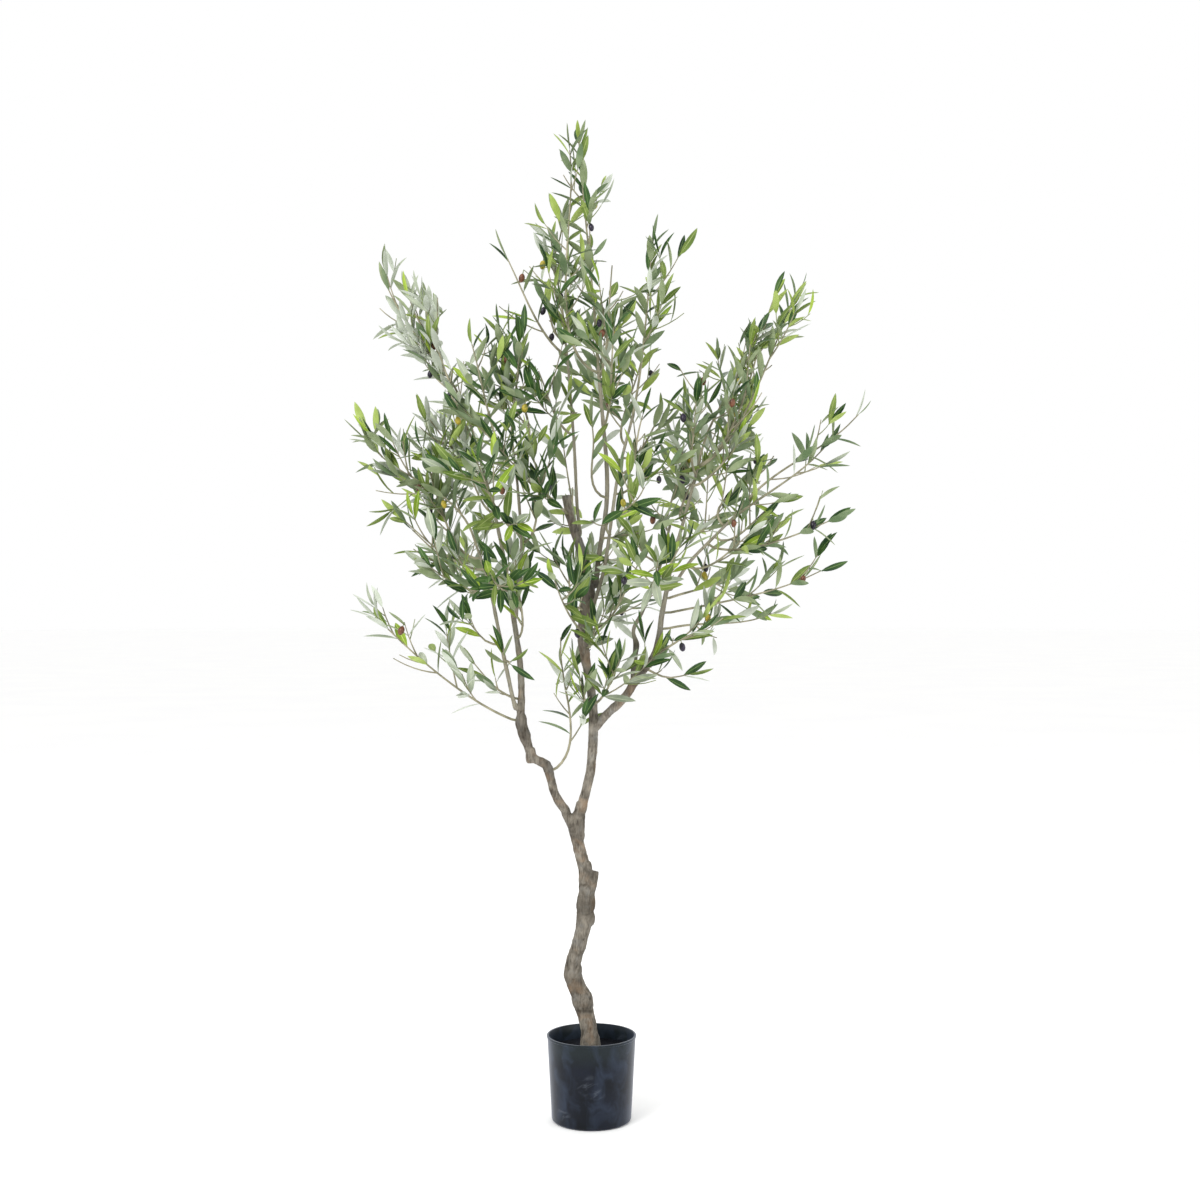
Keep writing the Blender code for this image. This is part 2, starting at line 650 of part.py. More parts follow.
class Crown:
    """The masses of foliage and the space each one keeps to."""

    def __init__(self, tree, collection, material):
        self.tree = tree
        self.collection = collection
        self.material = material
        self.leaf = leaf_mesh()
        self.olive = olive_mesh()
        self.stems = {}
        self.others = list(tree.trees.values())
        for spray in SPRAYS:
            seat = tree.seat(spray.limb, spray.share, Vector(spray.tip))
            self.stems[spray.name] = stem_axis(seat, Vector(spray.tip), LEAF_LENGTH)
        self.finder, self.owners = self.map_space()

    def map_space(self):
        """Points along every stem, so that each place can be given to its nearest spray."""
        points = []
        owners = []
        for name, stem in self.stems.items():
            for step in range(SPACE_STEPS + 1):
                points.append(stem.at(step / SPACE_STEPS)[0])
                owners.append(name)
        finder = KDTree(len(points))
        for index, point in enumerate(points):
            finder.insert(point, index)
        finder.balance()
        return finder, owners

    def in_space(self, name, point):
        """True where a point lies nearer to its own spray's stem than to any other's."""
        own = None
        for _, index, distance in self.finder.find_n(point, 2 * SPACE_STEPS):
            if self.owners[index] == name:
                own = distance if own is None else own
            else:
                return own is not None and own + SPACE_MARGIN < distance
        return True

    def is_clear(self, mesh, trees):
        """True where a mesh touches none of the search trees."""
        own = body_tree(mesh)
        return not any(own.overlap(tree) for tree in trees)

    def leaf_size(self, grown=0.0):
        """A leaf's width, thickness and length, grown by a margin all round."""
        return (LEAF_WIDTH + grown, LEAF_THICKNESS + 2.0 * grown, LEAF_LENGTH + grown)

    def leaves(self, name, stations, own, wanted):
        """The leaves that keep to the spray's space and touch neither a limb nor one another."""
        made = []
        for station in stations[:wanted]:
            for root, along, face in station:
                mesh = placed(self.leaf, pointing(root, along, face, self.leaf_size()))
                whole = placed(self.leaf, pointing(root, along, face, self.leaf_size(LEAF_MARGIN)))
                clear = root + along * LEAF_CLEAR
                blade = placed(self.leaf, pointing(clear, along, face, self.leaf_size(LEAF_MARGIN)))
                inside = all(self.in_space(name, vert.co) for vert in mesh.vertices)
                if inside and self.is_clear(whole, self.others) and self.is_clear(blade, own):
                    made.append(mesh)
                    own.append(body_tree(mesh))
                    break
        return made

    def hang_olive(self, name, twigs, own):
        """One olive on the first twig that has room for it, hanging down to one side."""
        size = (2.0 * OLIVE_RADIUS, 2.0 * OLIVE_RADIUS, OLIVE_LENGTH)
        for twig in twigs:
            point, direction = twig.at(OLIVE_SHARE)
            way = (around(direction, 0.0) * 0.5 - UP).normalized()
            mesh = placed(self.olive, pointing(point, way, direction, size))
            free = placed(self.olive, pointing(point + way * OLIVE_CLEAR, way, direction, size))
            inside = all(self.in_space(name, vert.co) for vert in mesh.vertices)
            if inside and self.is_clear(mesh, self.others) and self.is_clear(free, own):
                own.append(body_tree(mesh))
                return [mesh]
        return []

    def grow(self, spray, seed):
        """Build one spray: its stem, the twigs and the olive that fit, and leaves evenly on them all."""
        stem = self.stems[spray.name]
        rings = stem.points[:2] + stem.rings(SPRAY_RINGS + 1)[1:]
        fall = (SPRAY_TIP_RADIUS - SPRAY_STEM_RADIUS) / (len(rings) - 1)
        radii = [SPRAY_STEM_RADIUS + fall * index for index in range(len(rings))]
        made = add_object("foliage_" + spray.name, tube_mesh(spray.name, rings, radii, TWIG_SIDES),
                          self.collection, self.material)
        twigs = []
        parts = []
        for twig in twig_axes(stem, seed):
            mesh = tube_mesh(spray.name, twig.points, (TWIG_RADIUS, TWIG_TIP_RADIUS), TWIG_SIDES)
            inside = all(self.in_space(spray.name, vert.co) for vert in mesh.vertices)
            if inside and self.is_clear(mesh, self.others):
                twigs.append(twig)
                parts.append(mesh)
        own = [body_tree(made.data)] + [body_tree(mesh) for mesh in parts]
        if spray.olive:
            parts += self.hang_olive(spray.name, twigs, own)
        reach = stem.length * (1.0 - FIRST_LEAF_ON_STEM)
        reach += sum(twig.length * (1.0 - FIRST_LEAF_ON_TWIG) for twig in twigs)
        spacing = reach / max(1, spray.leaves - 1 - len(twigs))
        stations = leaf_stations(stem, FIRST_LEAF_ON_STEM, spacing, seed + STEM_SEED)
        for number, twig in enumerate(twigs):
            stations += leaf_stations(twig, FIRST_LEAF_ON_TWIG, spacing, seed + TWIG_SEED + number)
        fuse(made, parts + self.leaves(spray.name, stations, own, spray.leaves))
        made.data.materials.clear()
        made.data.materials.append(self.material)
        self.others.append(body_tree(made.data))


def main():
    """Build the pot, the limbs and the crown."""
    clear_scene()
    parts = new_collection("potted_olive_tree")
    guides = new_collection("guides")
    bark = new_material("bark", BARK)
    foliage = new_material("foliage", LEAF_GREEN)
    build_pot(parts, new_material("black_plastic", BLACK_PLASTIC))
    build_fill(parts, new_material("cement", CEMENT))
    tree = Tree(parts, bark)
    for limb in LIMBS:
        tree.grow(limb)
    crown = Crown(tree, parts, foliage)
    for number, spray in enumerate(SPRAYS):
        crown.grow(spray, number + 1)
    for guide in list(guides.objects):
        bpy.data.objects.remove(guide, do_unlink=True)


main()
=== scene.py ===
"""The potted olive tree, dressed: an artificial tree, 2.1 m tall, in a thin black grower's pot.

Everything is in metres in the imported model's frame: +Z up, the origin at the middle of the pot's flat
underside, the tree's front toward -Y. The limbs' centre lines are worked out again from the named bends
of the part's source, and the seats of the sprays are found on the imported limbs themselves, so each spray
grows from where its mass of foliage does. Twigs, leaves and olives are laid out by seeded rules and made
by Geometry Nodes.
"""
import json
import logging
import math
import random
from dataclasses import dataclass, field
from enum import Enum

import bmesh
import bpy
import numpy as np
from bpy.types import ID, Collection, Material, Mesh, Node, NodeOutputs, NodeTree, Object
from bpy.types import NodeSocket as Socket
from mathutils import Matrix, Vector
from mathutils.bvhtree import BVHTree
from mathutils.kdtree import KDTree

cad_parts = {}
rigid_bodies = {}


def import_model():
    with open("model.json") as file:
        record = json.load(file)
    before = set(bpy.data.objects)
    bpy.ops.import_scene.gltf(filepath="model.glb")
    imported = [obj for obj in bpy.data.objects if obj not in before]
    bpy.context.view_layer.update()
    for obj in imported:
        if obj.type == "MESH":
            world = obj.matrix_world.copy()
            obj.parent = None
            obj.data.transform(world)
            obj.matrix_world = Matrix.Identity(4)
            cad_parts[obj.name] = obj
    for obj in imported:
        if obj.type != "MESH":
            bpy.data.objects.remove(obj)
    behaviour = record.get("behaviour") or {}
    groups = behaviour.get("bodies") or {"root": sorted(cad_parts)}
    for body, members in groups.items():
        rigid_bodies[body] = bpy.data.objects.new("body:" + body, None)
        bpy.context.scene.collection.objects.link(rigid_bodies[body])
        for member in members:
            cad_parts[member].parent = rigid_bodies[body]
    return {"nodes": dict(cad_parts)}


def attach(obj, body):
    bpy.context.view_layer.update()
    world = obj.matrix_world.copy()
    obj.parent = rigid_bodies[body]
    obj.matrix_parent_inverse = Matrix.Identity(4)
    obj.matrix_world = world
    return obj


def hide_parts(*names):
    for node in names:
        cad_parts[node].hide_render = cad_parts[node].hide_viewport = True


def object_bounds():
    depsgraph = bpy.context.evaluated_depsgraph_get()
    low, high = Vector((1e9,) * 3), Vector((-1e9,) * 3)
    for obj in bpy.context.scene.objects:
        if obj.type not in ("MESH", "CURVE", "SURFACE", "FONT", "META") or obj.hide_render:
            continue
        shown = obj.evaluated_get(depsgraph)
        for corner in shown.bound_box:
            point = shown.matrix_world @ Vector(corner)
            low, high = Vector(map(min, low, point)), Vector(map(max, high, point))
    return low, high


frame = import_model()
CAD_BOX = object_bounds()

LOG = logging.getLogger("olive_tree")
Colour = tuple[int, int, int]
Point = tuple[float, float, float]
Range = tuple[float, float]
Fade = tuple[Range, Range]  # A range of values, and what its two ends are turned into
Feeds = dict[int | str, object]  # What feeds a node's inputs, by their number or name

UP = Vector((0.0, 0.0, 1.0))
FULL_TURN = 2.0 * math.pi
QUARTER_TURN = 0.5 * math.pi
GOLDEN_ANGLE = math.radians(137.5)
SHARP_ANGLE = math.radians(40.0)
NEARLY_UPRIGHT = 0.9

# What keeps the seeds of sprays, of levels of branching and of leaves apart
SPRAY_SEEDS, LEVEL_SEEDS, LEAF_SEEDS = 1000, 100, 100000

# As in the part's source: gaps and leads at the seats, steps of the curves, and the trunk's place
CLEARANCE = 0.0003
LEAD_IN = 0.004
RAY_START = 0.1
PATH_STEPS = 24
ARM_STEPS = 3
TWIG_STEPS = 5
FILL_TOP = 0.147
TRUNK_PLACE = (-0.001, 0.0, FILL_TOP)

# Attributes that only guide the recipes, so finished meshes don't keep them
GUIDES = ("radius", "turn", "size", "shape", "under", "rib", "stalk")

# The photo's side in pixels, and the curve of its screen colours
PHOTO_SIDE = 1200
SCREEN_KNEE, SCREEN_SLOPE, SCREEN_OFFSET, SCREEN_POWER = 0.04045, 12.92, 0.055, 2.4

# Where a ramp's two tints stand, and which part of the grain's range gives the roughness
RAMP_STOPS = (0.34, 0.66)
GLOSS_RANGE = (0.3, 0.7)


class LeafTone(Enum):
    """The colour kinds of leaf. Each kind is a piece of its own."""

    DARK = "dark"
    MID = "mid"
    GREY = "grey"
    LIME = "lime"


class SprayTone(Enum):
    """How a spray's leaves are dealt out among the kinds: shares of dark, mid, grey and lime."""

    DEEP = (0.58, 0.27, 0.09, 0.06)
    MIXED = (0.37, 0.37, 0.14, 0.12)
    SILVER = (0.12, 0.25, 0.58, 0.05)
    PALE = (0.06, 0.14, 0.76, 0.04)
    FRESH = (0.32, 0.32, 0.08, 0.28)


class OliveTone(Enum):
    """The colours of the olives."""

    BLACK = "black"
    RED = "red"
    YELLOW = "yellow"


DEEP, MIXED, SILVER, PALE, FRESH = SprayTone


@dataclass(frozen=True)
class Limb:
    """A tapering limb, as in the part's source."""

    # Its CAD node, the limb or the arm (limb/number) that it grows from, and how far along that one
    name: str
    parent: str
    share: float
    # The bends of its centre line, its radius at root and tip, and the rings of the source's tube
    bends: tuple[Point, ...]
    radii: Range
    rings: int
    # Its swellings: the share of the length, the extra radius and the half-length
    knots: tuple[Point, ...] = ()
    # Its arms: the share of the length, the end point and the radius
    arms: tuple[tuple[float, Point, float], ...] = ()

    def radius(self, length: float, share: float) -> float:
        """Find its radius at a share of its length: an even taper plus its knots.

        Args:
            length: Its length.
            share: The share of the length.

        Returns:
            The radius.
        """
        radius = self.radii[0] + (self.radii[1] - self.radii[0]) * share
        for where, swelling, half in self.knots:
            radius += swelling * math.exp(-((share - where) * length / half) ** 2)
        return radius


@dataclass(frozen=True)
class Spray:
    """A spray of foliage: one of the CAD model's masses, or a shoot that fills in between them."""

    # Its name, the limb that it grows from, how far along that one, and the point that it reaches to
    name: str
    limb: str
    share: float
    tip: Point
    # How its leaves are coloured, and how densely it is twigged and leaved
    tone: SprayTone
    fullness: float = 1.0


LIMBS = (
    Limb("trunk", "pot_fill", 1.0,
         ((-0.005, 0.002, 0.190), (-0.018, 0.008, 0.246), (-0.038, 0.003, 0.305), (-0.019, -0.008, 0.388),
          (-0.010, 0.002, 0.451), (-0.014, 0.006, 0.521), (-0.030, 0.000, 0.603), (-0.018, 0.000, 0.660)),
         (0.0168, 0.0104), 22,
         knots=((0.0, 0.0030, 0.020), (0.19, 0.0052, 0.022), (0.29, 0.0026, 0.030),
                (0.58, 0.0046, 0.042), (0.90, 0.0050, 0.024)),
         arms=((0.86, (-0.055, 0.000, 0.643), 0.0100), (0.57, (0.006, -0.004, 0.5145), 0.0095))),
    Limb("central_bough", "trunk", 1.0,
         ((-0.003, 0.005, 0.724), (0.004, 0.012, 0.828), (-0.001, 0.010, 0.895), (-0.017, -0.002, 1.000),
          (-0.008, 0.004, 1.078), (-0.016, 0.010, 1.167), (-0.043, 0.012, 1.250), (-0.054, 0.012, 1.303)),
         (0.0100, 0.0088), 20, knots=((0.66, 0.0068, 0.085),),
         arms=((0.235, (0.024, 0.003, 0.836), 0.0092),)),
    Limb("left_bough_lower", "trunk/0", 1.0,
         ((-0.068, -0.004, 0.663), (-0.078, -0.008, 0.686), (-0.086, -0.013, 0.718), (-0.091, -0.014, 0.736)),
         (0.0098, 0.0086), 8, knots=((1.0, 0.0018, 0.020),)),
    Limb("left_bough_upper", "left_bough_lower", 1.0,
         ((-0.106, -0.014, 0.748), (-0.124, -0.011, 0.758), (-0.134, -0.009, 0.785), (-0.147, -0.005, 0.832),
          (-0.146, -0.004, 0.880), (-0.150, -0.004, 0.960), (-0.167, 0.000, 1.075)),
         (0.0098, 0.0048), 18, knots=((0.27, 0.0040, 0.026),)),
    Limb("left_stem", "left_bough_upper", 0.40,
         ((-0.176, -0.032, 0.943), (-0.193, -0.043, 1.030), (-0.213, -0.050, 1.125), (-0.237, -0.052, 1.197)),
         (0.0048, 0.0031), 9),
    Limb("right_bough", "central_bough/0", 1.0,
         ((0.053, -0.008, 0.865), (0.073, -0.014, 0.886), (0.087, -0.018, 0.909), (0.101, -0.022, 0.930)),
         (0.0091, 0.0086), 8, knots=((0.9, 0.0012, 0.014),), arms=((0.80, (0.088, -0.024, 0.9415), 0.0060),)),
    Limb("right_inner_bough", "right_bough/0", 1.0,
         ((0.090, -0.026, 0.967), (0.093, -0.028, 0.992), (0.087, -0.026, 1.020), (0.104, -0.019, 1.056),
          (0.134, -0.004, 1.125), (0.166, 0.040, 1.242)),
         (0.0046, 0.0030), 16, knots=((0.0, 0.0018, 0.030), (0.15, 0.0020, 0.012))),
    Limb("right_outer_bough", "right_bough", 1.0,
         ((0.123, -0.030, 0.957), (0.137, -0.037, 0.990), (0.145, -0.042, 1.051), (0.160, -0.040, 1.129)),
         (0.0086, 0.0043), 11),
    Limb("leader_stem", "central_bough", 0.70,
         ((0.016, -0.004, 1.182), (0.031, -0.001, 1.280), (0.032, 0.006, 1.355), (0.021, 0.016, 1.490),
          (0.014, 0.020, 1.575)),
         (0.0056, 0.0038), 11),
    Limb("left_leader_stem", "central_bough", 0.87,
         ((-0.030, 0.034, 1.273), (-0.037, 0.046, 1.411), (-0.049, 0.058, 1.567), (-0.057, 0.066, 1.647)),
         (0.0038, 0.0028), 8),
    Limb("right_leader_stem", "central_bough", 0.62,
         ((0.024, -0.032, 1.139), (0.045, -0.036, 1.276), (0.055, -0.034, 1.342), (0.086, -0.028, 1.467)),
         (0.0042, 0.0032), 9),
    Limb("left_high_stem", "left_bough_upper", 1.0,
         ((-0.177, 0.010, 1.136), (-0.207, 0.050, 1.274), (-0.252, 0.085, 1.432)), (0.0046, 0.0032), 8),
    Limb("left_mid_stem", "left_bough_upper", 0.93,
         ((-0.148, -0.032, 1.117), (-0.144, -0.042, 1.191), (-0.154, -0.042, 1.335), (-0.162, -0.034, 1.394)),
         (0.0040, 0.0030), 8),
    Limb("right_high_stem", "right_outer_bough", 1.0,
         ((0.175, -0.020, 1.191), (0.193, 0.000, 1.251), (0.226, 0.035, 1.372)), (0.0042, 0.0032), 7),
    Limb("right_far_stem", "right_outer_bough", 0.90,
         ((0.204, -0.058, 1.164), (0.248, -0.052, 1.209), (0.296, -0.040, 1.257)), (0.0038, 0.0030), 7),
)

# The CAD model's masses of foliage
SPRAYS = tuple(Spray(*row) for row in (
    ("leader_top", "leader_stem", 1.0, (-0.031, 0.030, 2.109), MIXED, 1.5),
    ("leader_mid", "leader_stem", 0.95, (0.048, -0.050, 1.833), MIXED, 1.2),
    ("leader_front", "leader_stem", 0.72, (0.049, -0.220, 1.670), MIXED),
    ("leader_back", "leader_stem", 0.86, (-0.009, 0.280, 1.749), MIXED),
    ("left_leader_top", "left_leader_stem", 1.0, (-0.095, 0.120, 1.920), SILVER),
    ("left_leader_side", "left_leader_stem", 0.90, (-0.203, 0.020, 1.856), MIXED, 0.9),
    ("left_leader_low", "left_leader_stem", 0.50, (-0.130, -0.060, 1.607), DEEP, 1.7),
    ("right_leader_top", "right_leader_stem", 1.0, (0.131, -0.040, 1.874), MIXED, 1.6),
    ("right_leader_low", "right_leader_stem", 0.78, (0.178, 0.030, 1.530), MIXED),
    ("right_leader_back", "right_leader_stem", 0.85, (0.121, 0.260, 1.690), MIXED),
    ("left_high_top", "left_high_stem", 1.0, (-0.467, 0.140, 1.813), PALE, 1.6),
    ("left_high_side", "left_high_stem", 0.72, (-0.377, 0.020, 1.520), SILVER, 1.5),
    ("left_mid_top", "left_mid_stem", 1.0, (-0.135, -0.040, 1.688), DEEP, 1.4),
    ("left_mid_side", "left_mid_stem", 0.88, (-0.261, -0.060, 1.666), MIXED, 1.2),
    ("left_side", "left_stem", 1.0, (-0.494, -0.080, 1.455), FRESH, 1.5),
    ("left_low_side", "left_stem", 0.70, (-0.371, -0.140, 1.188), MIXED, 1.5),
    ("left_low_twig", "left_bough_upper", 0.33, (-0.480, -0.080, 1.090), SILVER, 1.5),
    ("left_front", "left_mid_stem", 0.50, (-0.229, -0.360, 1.383), MIXED, 1.3),
    ("left_front_low", "left_mid_stem", 0.15, (-0.206, -0.320, 1.159), DEEP, 1.2),
    ("left_back", "left_high_stem", 0.55, (-0.338, 0.420, 1.557), SILVER),
    ("left_back_low", "left_high_stem", 0.15, (-0.322, 0.340, 1.210), SILVER, 1.3),
    ("centre_front", "central_bough", 0.94, (-0.221, -0.220, 1.439), DEEP, 1.6),
    ("centre_low_twig", "left_bough_lower", 0.90, (-0.063, 0.080, 1.062), MIXED),
    ("centre_right_low", "central_bough", 0.32, (0.074, -0.150, 1.008), MIXED, 1.5),
    ("centre_back", "central_bough", 0.82, (-0.075, 0.400, 1.503), MIXED),
    ("centre_back_low", "central_bough", 0.60, (0.022, 0.370, 1.222), SILVER),
    ("centre_front_low", "central_bough", 0.55, (-0.081, -0.320, 1.159), DEEP),
    ("right_front", "right_leader_stem", 0.40, (0.115, -0.350, 1.327), MIXED, 0.9),
    ("right_front_low", "right_inner_bough", 0.45, (0.131, -0.340, 1.187), MIXED),
    ("right_high_top", "right_high_stem", 1.0, (0.462, 0.080, 1.788), FRESH, 1.6),
    ("right_high_inner", "right_high_stem", 0.90, (0.235, 0.000, 1.601), DEEP, 1.5),
    ("right_far", "right_far_stem", 1.0, (0.591, -0.040, 1.511), FRESH, 1.1),
    ("right_mid", "right_far_stem", 0.85, (0.415, 0.120, 1.438), MIXED, 1.4),
    ("right_side", "right_far_stem", 0.60, (0.533, -0.160, 1.267), MIXED, 1.1),
    ("right_low", "right_outer_bough", 0.66, (0.524, -0.060, 1.170), DEEP, 1.2),
    ("right_low_small", "right_outer_bough", 0.50, (0.434, 0.080, 1.075), MIXED),
    ("right_bottom", "right_outer_bough", 0.25, (0.244, -0.220, 1.083), DEEP, 0.85),
    ("right_bottom_hang", "right_outer_bough", 0.08, (0.258, -0.030, 0.943), MIXED, 0.8),
    ("right_back", "right_high_stem", 0.50, (0.310, 0.420, 1.552), MIXED),
    ("right_back_low", "right_inner_bough", 0.97, (0.211, 0.360, 1.452), MIXED),
    ("right_back_far", "right_outer_bough", 0.80, (0.357, 0.340, 1.175), MIXED),
))

# Shoots that only the dressed tree has: they grow from the same limbs and fill out the nearby sprays
INFILL = tuple(Spray("infill", *row) for row in (
    ("left_stem", 0.80, (-0.413, -0.030, 1.270), MIXED, 1.2),
    ("left_stem", 0.92, (-0.376, -0.020, 1.456), FRESH, 1.1),
    ("left_bough_upper", 0.45, (-0.283, -0.020, 1.000), SILVER, 1.2),
    ("left_high_stem", 0.95, (-0.381, 0.090, 1.790), PALE, 1.7),
    ("left_stem", 0.40, (-0.290, -0.060, 1.085), MIXED),
    ("left_mid_stem", 0.97, (-0.198, 0.020, 1.705), FRESH, 0.9),
    ("left_mid_stem", 0.45, (-0.088, -0.080, 1.400), DEEP, 1.3),
    ("left_bough_upper", 0.80, (-0.156, -0.080, 1.226), MIXED, 1.1),
    ("left_leader_stem", 0.92, (-0.045, 0.000, 1.741), MIXED),
    ("leader_stem", 0.40, (-0.007, -0.060, 1.504), MIXED),
    ("central_bough", 0.62, (-0.065, -0.050, 1.217), DEEP, 1.3),
    ("central_bough", 0.56, (0.128, -0.050, 1.215), DEEP),
    ("central_bough", 0.30, (-0.034, -0.030, 0.980), MIXED, 1.1),
    ("right_leader_stem", 0.60, (0.159, -0.020, 1.436), MIXED, 1.3),
    ("right_inner_bough", 0.70, (0.063, -0.060, 1.248), FRESH, 0.9),
    ("right_outer_bough", 0.15, (0.165, -0.060, 1.018), DEEP),
    ("right_high_stem", 0.97, (0.446, 0.050, 1.752), MIXED, 1.5),
    ("right_high_stem", 0.80, (0.368, 0.000, 1.501), FRESH),
    ("right_far_stem", 0.70, (0.412, -0.020, 1.316), DEEP, 1.1),
    ("right_far_stem", 0.30, (0.372, -0.080, 1.262), MIXED, 1.3),
    ("right_high_stem", 0.35, (0.318, 0.020, 1.325), MIXED, 1.2),
    ("leader_stem", 0.97, (-0.052, 0.010, 2.085), FRESH, 0.8),
    ("left_leader_stem", 0.97, (-0.118, 0.060, 1.770), MIXED, 0.9),
    ("left_leader_stem", 0.60, (-0.050, 0.020, 1.560), MIXED, 0.9),
    ("right_leader_stem", 0.70, (0.122, -0.050, 1.520), MIXED, 0.8),
    ("leader_stem", 0.22, (0.118, -0.030, 1.285), MIXED),
    ("central_bough", 0.75, (-0.088, -0.060, 1.190), DEEP, 0.9),
    ("left_high_stem", 0.98, (-0.408, 0.110, 1.790), PALE, 0.8),
    ("left_stem", 0.85, (-0.430, -0.060, 1.290), FRESH, 0.8),
    ("left_stem", 0.30, (-0.190, -0.085, 1.030), MIXED, 0.9),
    ("right_high_stem", 0.98, (0.408, 0.050, 1.785), FRESH, 0.9),
    ("right_far_stem", 0.95, (0.520, -0.030, 1.440), FRESH, 0.8),
    ("central_bough", 0.50, (0.020, -0.090, 1.085), MIXED, 0.9),
))

# Patches of sky that the photo shows in and round the crown: their middle and half-sizes in its pixels
SKY = (
    (553, 168, 11, 9), (606, 148, 18, 27), (622, 196, 13, 18), (626, 246, 20, 38), (490, 290, 22, 16),
    (520, 246, 18, 18), (455, 290, 14, 32), (452, 346, 11, 17), (366, 290, 12, 42), (402, 238, 18, 17),
    (388, 287, 9, 8), (388, 314, 9, 9), (400, 402, 14, 24), (354, 506, 16, 22), (389, 490, 9, 7),
    (401, 535, 10, 16), (435, 394, 9, 8), (468, 353, 8, 9), (482, 360, 7, 8), (544, 346, 14, 24),
    (544, 416, 7, 9), (684, 342, 24, 26), (694, 262, 12, 18), (702, 304, 20, 20), (730, 318, 18, 24),
    (752, 288, 11, 30), (838, 282, 22, 24), (797, 354, 18, 12), (806, 392, 24, 18), (824, 318, 14, 16),
    (776, 425, 15, 32), (800, 479, 32, 15), (862, 420, 12, 12), (800, 545, 13, 7), (832, 592, 24, 26),
    (757, 642, 36, 22), (706, 708, 26, 26), (729, 605, 10, 9), (724, 559, 9, 6), (711, 505, 11, 9),
    (707, 485, 9, 9), (714, 402, 6, 9), (686, 594, 8, 9), (643, 372, 8, 14), (668, 384, 12, 14),
    (645, 424, 8, 9), (648, 491, 9, 9), (652, 565, 8, 8), (588, 460, 8, 34), (566, 470, 8, 18),
    (541, 520, 7, 9), (563, 577, 9, 7), (548, 604, 15, 14), (538, 630, 16, 14), (547, 682, 8, 16),
    (516, 484, 8, 8), (480, 640, 14, 14), (672, 677, 14, 8), (408, 598, 28, 20), (388, 676, 26, 18),
    (383, 648, 20, 10), (425, 693, 24, 12), (438, 676, 9, 8), (459, 660, 7, 7), (436, 282, 8, 12),
    (769, 356, 8, 9), (606, 276, 7, 9), (592, 172, 8, 20), (787, 506, 9, 8), (768, 288, 8, 22),
    (772, 584, 9, 8), (414, 526, 8, 9), (485, 671, 9, 8), (676, 623, 8, 8), (588, 508, 7, 10),
    (577, 728, 10, 10), (372, 452, 9, 8), (420, 636, 10, 7), (414, 366, 9, 10), (437, 384, 8, 8),
    (541, 318, 8, 8), (828, 452, 10, 10), (547, 214, 9, 10), (601, 221, 7, 8), (633, 430, 7, 8),
    (469, 344, 8, 10), (767, 383, 8, 9), (562, 567, 8, 8), (526, 294, 9, 8), (716, 556, 8, 8),
    (427, 536, 7, 8),
)

# Where olives show in the photo, in its own pixels
OLIVE_PIXELS = {
    OliveTone.BLACK: ((595, 233), (551, 339), (436, 374), (455, 395), (598, 326), (630, 338), (563, 483),
                      (658, 481), (681, 481), (430, 517), (450, 558), (678, 421), (686, 664), (804, 520),
                      (571, 645), (604, 587)),
    OliveTone.RED: ((524, 270), (599, 338), (506, 361), (415, 482), (501, 487), (400, 631), (652, 518),
                    (738, 520), (795, 569), (731, 401), (706, 376)),
    OliveTone.YELLOW: ((782, 304), (743, 381), (738, 415), (610, 503), (709, 619), (566, 268), (547, 257),
                       (522, 411), (447, 424), (444, 498)),
}


def linear(colour: Colour) -> tuple[float, float, float, float]:
    """Turn a screen colour into the linear one that shaders take.

    Args:
        colour: Red, green and blue from 0 to 255.

    Returns:
        The linear colour with an alpha of 1.
    """
    parts = [value / 255.0 for value in colour]
    return (*(part / SCREEN_SLOPE if part <= SCREEN_KNEE
              else ((part + SCREEN_OFFSET) / (1.0 + SCREEN_OFFSET)) ** SCREEN_POWER for part in parts), 1.0)


@dataclass
class Wiring:
    """Adds nodes to a tree and links them, in shaders and in Geometry Nodes alike."""

    tree: NodeTree

    def feed(self, node: Node, feeds: Feeds) -> None:
        """Feed a node's inputs.

        Args:
            node: The node.
            feeds: For each input, the socket that feeds it or its constant.
        """
        for key, value in feeds.items():
            if isinstance(value, Socket):
                self.tree.links.new(value, node.inputs[key])
            else:
                node.inputs[key].default_value = value

    def add(self, kind: str, feeds: Feeds | None = None, **settings: object) -> Node:
        """Add one node.

        Args:
            kind: The node's type.
            feeds: What feeds its inputs.
            **settings: The node's own properties.

        Returns:
            The new node.
        """
        node = self.tree.nodes.new(kind)
        for name, value in settings.items():
            setattr(node, name, value)
        self.feed(node, feeds or {})
        return node

    def out(self, kind: str, feeds: Feeds | None = None, pick: int | str = 0, **settings: object) -> Socket:
        """Add one node, and give its output of the picked number or name."""
        return self.add(kind, feeds, **settings).outputs[pick]

    def math(self, operation: str, *values: object) -> Socket:
        """The socket of one step of arithmetic on numbers or their sockets."""
        return self.out("ShaderNodeMath", dict(enumerate(values)), operation=operation)

    def vector(self, operation: str, *values: object) -> Socket:
        """The socket of one step of arithmetic on vectors or their sockets."""
        return self.out("ShaderNodeVectorMath", dict(enumerate(values)), operation=operation)


